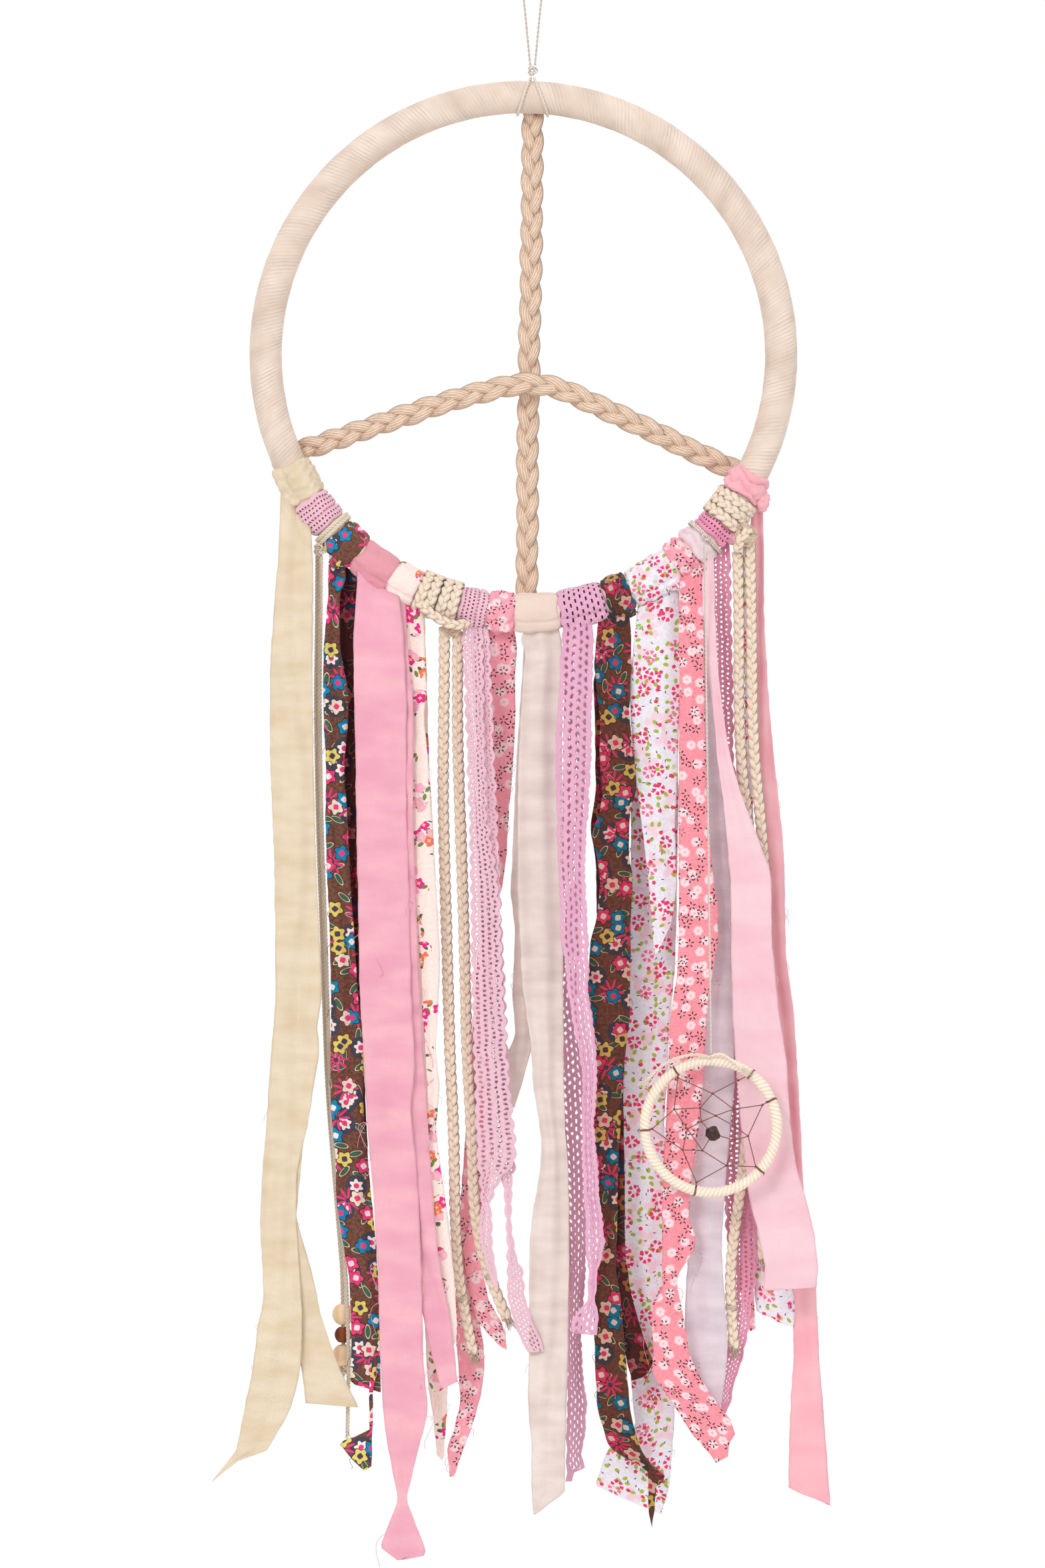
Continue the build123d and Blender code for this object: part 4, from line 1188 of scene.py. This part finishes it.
def strip(plate, pleats, depth, seed, step=2.0, column=1.3, tremble=0.35, scallop=(0.0, 8.0), wider=(0, 0)):
    """A grid of points for one hanging strip: it spreads from its wrap, follows the plate's sides, or a
    little wider than them, and is pleated so many times, so many millimetres deep. scallop is how far its
    edges bulge and how often. Rows run down, columns from left to right."""
    layer, edges = plate
    layer += 0.5
    heights = [z for side in edges for _, z in side]
    top, foot = max(heights), min(heights)
    zs = np.arange(top - 0.2, foot, -step)
    zs = np.append(zs, foot + 0.05)
    reached = [span(edges, z) for z in zs]
    left = np.array([s[0] for s in reached])
    right = np.array([s[1] for s in reached])
    wide = right - left
    first = 0
    if wide[0] < 0.5 * wide[12]:
        first = int(np.argmax(wide > 0.93 * wide[min(20, len(wide) - 1)]))
    zs, left, right = zs[first:], left[first:], right[first:]
    keep = int(len(zs) - 34 / step)
    eased_left = np.concatenate([softened(left, 4)[:keep], left[keep:]])
    eased_right = np.concatenate([softened(right, 4)[:keep], right[keep:]])
    wobble = line_noise(zs, 6, (0.2, seed)) * tremble
    other = line_noise(zs, 6, (7.2, seed)) * tremble
    slack = np.clip((right - left) / 6, 0, 1) * np.clip((zs - zs[-1]) / 60, 0, 1)
    bulge = scallop[0] * (np.abs(np.sin(pi * zs / scallop[1])) - 0.5)
    left = eased_left + wobble - wider[0] * slack - bulge * slack
    right = np.maximum(eased_right + other + (wider[1] + bulge) * slack, left + 0.12)
    widest = float(np.percentile(right - left, 92))
    columns = max(7, int(widest / column))
    u = np.linspace(0, 1, columns + 1)
    head = 7
    rows = []
    for k in range(head):
        part = (head - k) / head
        x = left[0] + (right[0] - left[0]) * (u * (1 - 0.14 * part) + 0.07 * part)
        goal = np.array([under_wrap(c, HEAD * layer) for c in x])
        rows.append((x, zs[0] + (goal - zs[0]) * part))
    for l, r, z in zip(left, right, zs):
        rows.append((l + (r - l) * u, np.full(columns + 1, z)))
    x = np.array([row[0] for row in rows])
    z = np.array([row[1] for row in rows])
    drop = np.clip((z[0].mean() - z) / 46, 0, 1)
    settle = HEAD + (1 - HEAD) * drop * drop * (3 - 2 * drop)
    billow = cloth_noise(x, z, 46, 95, 3.3)
    y = layer * settle * (1 + 0.11 * np.clip(0.5 + billow, 0, 1.4))
    y = y + 0.8 * drop * cloth_noise(x, z, 60, 24, 8.8)
    narrow = np.clip((x[:, -1:] - x[:, :1]) / 9, 0, 1)
    slide = line_noise(z[:, 0], 120, (seed, 0.7))[:, None] * 2.4
    wave = np.sin(2 * pi * pleats * u[None] + slide * 2 + seed)
    small = np.array([[noise.noise((seed + c * 3.1, b / 17, 1.9)) for c in u] for b in z[:, 0]])
    loose = narrow * (0.12 + 0.88 * np.clip((z - zs[-1]) / 60, 0, 1))
    y = y + loose * depth * (wave + 0.5 * small)
    folds_at = cloth_noise(x, z, 19, 15, seed + 2, skew=0.4)
    y = y + np.sign(layer) * loose * CREASE * (2.6 * np.abs(folds_at) - 0.35)
    edge = np.minimum(u, 1 - u)[None]
    y = y + np.sign(layer) * loose * depth * 0.5 * np.exp(-edge / 0.06) * np.sin(z / 13 + seed)
    axis = softened((x[:, 0] + x[:, -1]) / 2, 16)
    far = np.concatenate([[0], np.cumsum(np.hypot(np.diff(axis), np.diff(z.mean(1))))])
    flat = np.stack([x - axis[:, None] + 41 * seed, np.broadcast_to(far[:, None], x.shape)], -1)
    return np.stack([x, y, z], -1), flat


def cloth_size(points):
    """Width and length of a strip laid flat, and its area, in millimetres."""
    across = np.linalg.norm(np.diff(points, axis=1), axis=2).sum(1)
    down = np.linalg.norm(np.diff(points.mean(1), axis=0), axis=1)
    area = float(np.sum((across[1:] + across[:-1]) / 2 * down))
    return float(np.percentile(across, 97)), float(down.sum()), area


def sheet_piece(name, points, flat, material, body, slot, thick=0.35, cut=None, threads=None):
    """A hanging strip, given a thickness; its flat width, length and area are worked out but not kept. cut
    takes holes out of it.
    """
    faces = grid_faces(*points.shape[:2])
    if cut is not None:
        faces = cut(points, flat, faces)
    used = sorted({i for face in faces for i in face})
    index = {old: new for new, old in enumerate(used)}
    faces = [[index[i] for i in face] for face in faces]
    shape = points.reshape(-1, 3)[used], faces, flat.reshape(-1, 2)[used]
    piece = mesh_piece(name, shape, material, body, slot, body)
    body_of_cloth = piece.modifiers.new("thickness", "SOLIDIFY")
    body_of_cloth.thickness = thick * MM
    body_of_cloth.offset = 0
    width, length, area = cloth_size(points)
    width, length = max(10, round(width)), round(length)
    pieces = []
    if threads is not None:
        pieces = [mesh_piece(f"{name}_threads", threads, material, body, slot)]


def loose_threads(points, amount, seed, longest):
    """Short curled threads that have come out of a strip's cut edges."""
    rng = np.random.default_rng(seed)
    parts = []
    for _ in range(amount):
        row = int(rng.uniform(0.16, 0.985) * len(points))
        right = rng.random() < 0.5
        start = points[row, -1 if right else 0]
        out = 1.0 if right else -1.0
        reach = rng.uniform(0.3, 1.0) * longest
        t = np.linspace(0, 1, 18)
        curl = rng.uniform(1.5, 6.0)
        line = np.stack([
            start[0] + out * (0.25 * reach * np.sin(curl * t) * 0.6 + 0.10 * reach * t),
            start[1] - 0.6 * np.sin(2.0 * t + curl),
            start[2] - reach * (t * 0.75 - 0.12 * np.sin(curl * t)),
        ], 1)
        parts.append(strand(line, 0.13, 0.13, count=5, toward=(1.0, 0.3, 0.0)))
    return joined(parts)


def hang_cloth(finishes):
    """Every cloth strip of STRIPS."""
    for number, (name, (slot, tails)) in enumerate(STRIPS.items()):
        node = f"{name}_tails"
        wider = WIDER.get(name, (0, 0))
        for k, (plate, (look, pleats, depth)) in enumerate(zip(plates(node), tails)):
            points, flat = strip(plate, pleats, depth, number * 2.3 + k * 5.9 + 1, wider=wider)
            amount = 6 if "organza" in look or "sheer" in look else 16
            longest = 26 if name in ("solid_pink_left", "pink_print_right") else 9
            threads = loose_threads(points, amount, number * 7 + k, longest)
            sheet_piece(f"{name}_tail_{k + 1}", points, flat, finishes[look], node, slot, threads=threads)


def eyelets(columns, pitch, wide, tall, edge):
    """Cuts staggered oval holes in a lace strip, its edges kept whole."""

    def cut(points, flat, faces):
        across = np.linalg.norm(np.diff(points, axis=1), axis=2)
        s = np.concatenate([np.zeros((len(points), 1)), np.cumsum(across, axis=1)], axis=1)
        room = s[:, -1:] - 2 * edge
        cell = (s - edge) / np.maximum(room, 0.1) * columns
        t = flat[..., 1] / pitch + 0.5 * (np.floor(cell) % 2)
        in_range = (cell > 0) & (cell < columns) & (room > 2.0)
        du = (cell - np.floor(cell) - 0.5) / wide
        dv = (t - np.floor(t) - 0.5) / tall
        q = np.where(in_range, np.hypot(du, dv), 9).ravel()
        gone = q[np.array(faces)].mean(1) < 0.92
        return [face for face, g in zip(faces, gone) if not g]

    return cut


def hang_lace(finishes):
    """Every lace strip of LACES."""
    for number, (name, (look, tails, holes, scallop, wider)) in enumerate(LACES.items()):
        node = f"{name}_tails"
        slot = "lace_lilac" if look == "lace_lilac" else "lace_pink"
        for k, (plate, (pleats, depth)) in enumerate(zip(plates(node), tails)):
            seed = number * 3.1 + k * 4.3 + 0.5
            points, flat = strip(plate, pleats, depth, seed, 0.62, 0.55, 0.8, scallop, wider)
            material = finishes[look]
            sheet_piece(f"{name}_tail_{k + 1}", points, flat, material, node, slot, 0.7, eyelets(*holes))


# ---------------------------------------------------------------- beads and charm


def bead(node, diameter, height, finish, slot):
    """A turned bead with a bored hole and eased rims."""
    half = diameter / 2
    edge = np.arcsin(BEAD_BORE_R / half * 1.35)
    outline = [(half * sin(a), half * cos(a)) for a in np.linspace(edge, pi - edge, 26)]
    rim = outline[0][1]
    eased = [(BEAD_BORE_R, rim - 0.7), (BEAD_BORE_R + 0.15, rim - 0.15)]
    outline = eased + outline + [(r, -z) for r, z in eased[::-1]]
    turn = circle(40)
    rings = [np.stack([r * np.cos(turn), r * np.sin(turn), np.full(40, z)], 1) for r, z in outline]
    points = np.concatenate(rings) + (BEAD_X, BEAD_Y, height)
    shape = points, tube_faces(len(outline), 40, False), None
    return mesh_piece(f"{node}_turned", shape, finish, node, slot, node)


def charm_ring(finish):
    """The charm's ring, wound with cord, and the two tied ends of its cord."""
    count, around, tube = 1500, 20, 2.95
    turn = circle(around)
    rings, flat = [], []
    for i in range(count):
        a = 2 * pi * i / count
        out = np.array([sin(a), 0, cos(a)])
        wound = RING_TURNS * a + RING_STARTS * turn
        ridge = np.abs(np.sin(wound / 2)) ** 0.6
        fine = noise.noise((7 * sin(a), 7 * cos(a), 0))
        coarse = max(0, noise.noise((3 * sin(a), 3 * cos(a), 5)))
        r = tube - 0.55 + 0.45 * ridge + (0.28 * fine + 0.55 * coarse)
        rings.append(tube_ring(np.array(CHARM) + CHARM_R * out, out, r, turn))
        flat.append(np.stack([(wound / (2 * pi) - 0.25) * RING_PITCH, turn * tube], -1))
    parts = [(np.concatenate(rings), tube_faces(count, around, False), np.concatenate(flat))]
    for route in CHARM_TIES:
        line = spline_points(route)
        parts.append(laid(line, 1.9, 5, 2, 8, 0.5))
        parts.append(frayed(line[-1], line[-1] - line[-8], 0.8, 8.5, 34, len(parts), 0.14))
    nodes = ("charm_ring", "charm_ring_wrap")
    mesh_piece("charm_ring_winding", joined(parts), finish, "charm", "ring_cord", *nodes)


def charm_web(finish):
    """The threads between the web's knots, with a turn round the ring or a small loop at each knot."""
    thin = 0.27
    parts = []

    def at(name):
        x, z = WEB_KNOTS[name]
        return np.array([CHARM[0] + x, CHARM[1], CHARM[2] + z])

    for number, thread in enumerate(WEB_THREADS):
        names = thread.split()
        for a, b in zip(names, names[1:]):
            t = np.linspace(0, 1, 12)[:, None]
            line = at(a) + (at(b) - at(a)) * t
            line[:, 1] += 0.25 * np.sin(pi * t[:, 0]) * (-1) ** number
            parts.append(strand(line, thin, thin, 7))
    for name in WEB_KNOTS:
        if name.startswith("ring"):
            out = unit(at(name) - np.array(CHARM))
            middle = np.array(CHARM) + CHARM_R * out
            t = np.linspace(0, 2 * pi * 1.9, 60)
            line = middle + np.outer(3.0 * np.cos(t), out) + np.outer(t / 12 - 0.5, np.cross(out, (0, 1, 0)))
            line[:, 1] += 3.0 * np.sin(t)
            parts.append(strand(line, thin, thin, 7, toward=line - middle))
        elif name != "stone":
            t = np.linspace(0, 2 * pi * 1.6, 30)
            line = at(name) + 0.42 * np.stack([np.cos(t), (t / 10 - 0.5) * 1.2, np.sin(t)], 1)
            parts.append(strand(line, thin, thin, 6))
    mesh_piece("charm_web_threads", joined(parts), finish, "charm", "thread", "charm_web")


def charm_stone(finish):
    """A small chip of stone with flat facets."""
    rng = np.random.default_rng(11)
    form = bmesh.new()
    for _ in range(22):
        way = unit(rng.normal(size=3))
        place = way * rng.uniform(0.9, 1.0) * np.array([4.6, 3.2, 4.9])
        form.verts.new((place + (CHARM[0] + 1.0, CHARM[1], CHARM[2] - 3.9)) * MM)
    bmesh.ops.convex_hull(form, input=form.verts)
    bmesh.ops.bevel(form, geom=form.edges[:], offset=0.12 * MM, segments=2, affect="EDGES", profile=0.5)
    mesh = bpy.data.meshes.new("charm_stone_chip")
    form.to_mesh(mesh)
    form.free()
    linked("charm_stone_chip", mesh, finish, "charm", ("charm_stone",))


def charm_cords(material):
    """The cord tied round the hoop, and the one that the charm hangs on."""
    line, _ = turn_line(44.9, 11.75, 2.04, slant=1.1)
    knot = laid(trefoil((94.0, -13.8, -300.5), 0.62), 1.1, 4.0, 2, 8, 0.4)
    tie = joined([laid(line, 1.2, 4.0, 2, 8, 0.5), knot])
    mesh_piece("charm_tie_cord", tie, material, "hoop", "cord", "charm_tie")

    line = spline_points(CHARM_ROUTE)
    strands = laid(line, CHARM_CORD_D, 5.0, 2, 8, 0.6)
    piece = mesh_piece("charm_cord_strands", strands, material, "charm_cord", "cord", "charm_cord")
    free_cord(CHARM_ROUTE, line)


# ---------------------------------------------------------------- the finished object

set_stage()
looks = {
    "tape": tape_cloth("cotton_tape", (240, 222, 208), (216, 194, 178)),
    # The plaits' yarns and the rope's have painted shade where their strands meet.
    "braid_yarn": yarn("braid_cotton", (246, 220, 198), (214, 180, 154), 1.5, 0.25, 0.4, FRAME_BRAID_D / 4),
    "tail_yarn": yarn("tail_braid_cotton", (255, 239, 220), (244, 218, 194), 1.0, 0.3, 0.3, TAIL_BRAID_D / 4),
    "cord_yarn": yarn("cord_cotton", (255, 244, 235), (245, 227, 212), 0.6, 0.6),
    "rope_yarn": yarn(
        "rope_cotton", (255, 244, 226), (248, 230, 206), 0.6, 0.3, 0.2, THIN_CORD_D / 4.3, 0.28
    ),
    "ring": yarn("charm_ring_cord", (250, 237, 220), (238, 219, 197), RING_PITCH, 0.0, 0.15),
    "thread": yarn("charm_thread", (170, 98, 84), (128, 68, 60), 0.3, 0.2),
    "organza_left": cloth("cream_organza", (239, 223, 200), (226, 205, 174), 0.9, 12, alpha=0.93),
    "organza_mid": cloth("beige_organza", (244, 230, 223), (227, 209, 202), 0.9, 11, alpha=0.93),
    "organza_knot": cloth("beige_organza_knot", (238, 218, 206), (228, 204, 190), 0.9),
    "sheer_front": cloth("pink_sheer", (255, 220, 227), (251, 200, 212), alpha=0.95),
    "sheer_back": cloth("lilac_sheer", (244, 229, 236), (222, 205, 216), 0.8, 12, alpha=0.85),
    "sheer_white": cloth("white_sheer", (252, 238, 242), (246, 218, 226), alpha=0.92),
    "pink_left": cloth("light_pink_cotton", (249, 190, 198), (238, 166, 188), lump=18),
    # A darker copy of the light pink for its knotted wrap: painted shade of the knot's creases.
    "pink_knot": cloth("light_pink_knot_shaded", (240, 172, 178), (228, 150, 166)),
    "pink_right": cloth("salmon_cotton", (254, 196, 204), (250, 176, 188)),
    "lace_pink": lace_thread("pink_lace", (255, 212, 227), (255, 188, 210)),
    "lace_deep": lace_thread("deep_pink_lace", (255, 176, 206), (255, 142, 184)),
    # The sleeves under the lace, darker than the lace itself: painted shade seen through its holes.
    "lace_deep_under": cloth("deep_pink_lace_shaded_under", (250, 126, 170), (238, 98, 150)),
    "lace_pink_under": cloth("pink_lace_shaded_under", (252, 150, 186), (242, 126, 170)),
    "lace_lilac_under": cloth("lilac_lace_shaded_under", (150, 92, 128), (128, 72, 108)),
    "lace_lilac": lace_thread("lilac_lace", (253, 194, 222), (234, 154, 196)),
    "brown": brown_print("brown_print"),
    "brown_dark": brown_print("brown_print_right", (204, 176, 166)),
    # A darker copy of the print for the back plates: painted shade where they hang behind the front plates.
    "brown_shaded": brown_print("brown_print_back_shaded", (150, 92, 104)),
    "rose": rose_print("rose_print"),
    "pink_print": pink_print("pink_print", (255, 174, 189), (252, 158, 175)),
    "pink_print_deep": pink_print("pink_print_deep", (253, 160, 171), (247, 142, 156)),
    "white_floral": white_floral("white_floral"),
    "stone": dark_stone("dark_stone"),
    "light_bead": bead_wood("light_wood", (250, 226, 196), (236, 202, 162)),
    "dark_bead": bead_wood("dark_wood", (150, 82, 48), (96, 44, 24)),
}

hoop_tape(looks["tape"])
frame_braids(looks["braid_yarn"])
hanger(looks["cord_yarn"])
wraps(looks)
plait_turns(looks["tail_yarn"])
cord_turns(looks["rope_yarn"])
plait_knots(looks["tail_yarn"])
hang_braids(looks["tail_yarn"])
hang_cloth(looks)
hang_lace(looks)
charm_ring(looks["ring"])
charm_web(looks["thread"])
charm_stone(looks["stone"])
charm_cords(looks["cord_yarn"])
beads = [
    bead("bead_top", 12.2, -726.0, looks["light_bead"], "light_wood"),
    bead("bead_middle", 9.6, -737.2, looks["dark_bead"], "dark_wood"),
    bead("bead_bottom", 12.2, -748.4, looks["light_bead"], "light_wood"),
]
hang_cords(looks["rope_yarn"], beads)
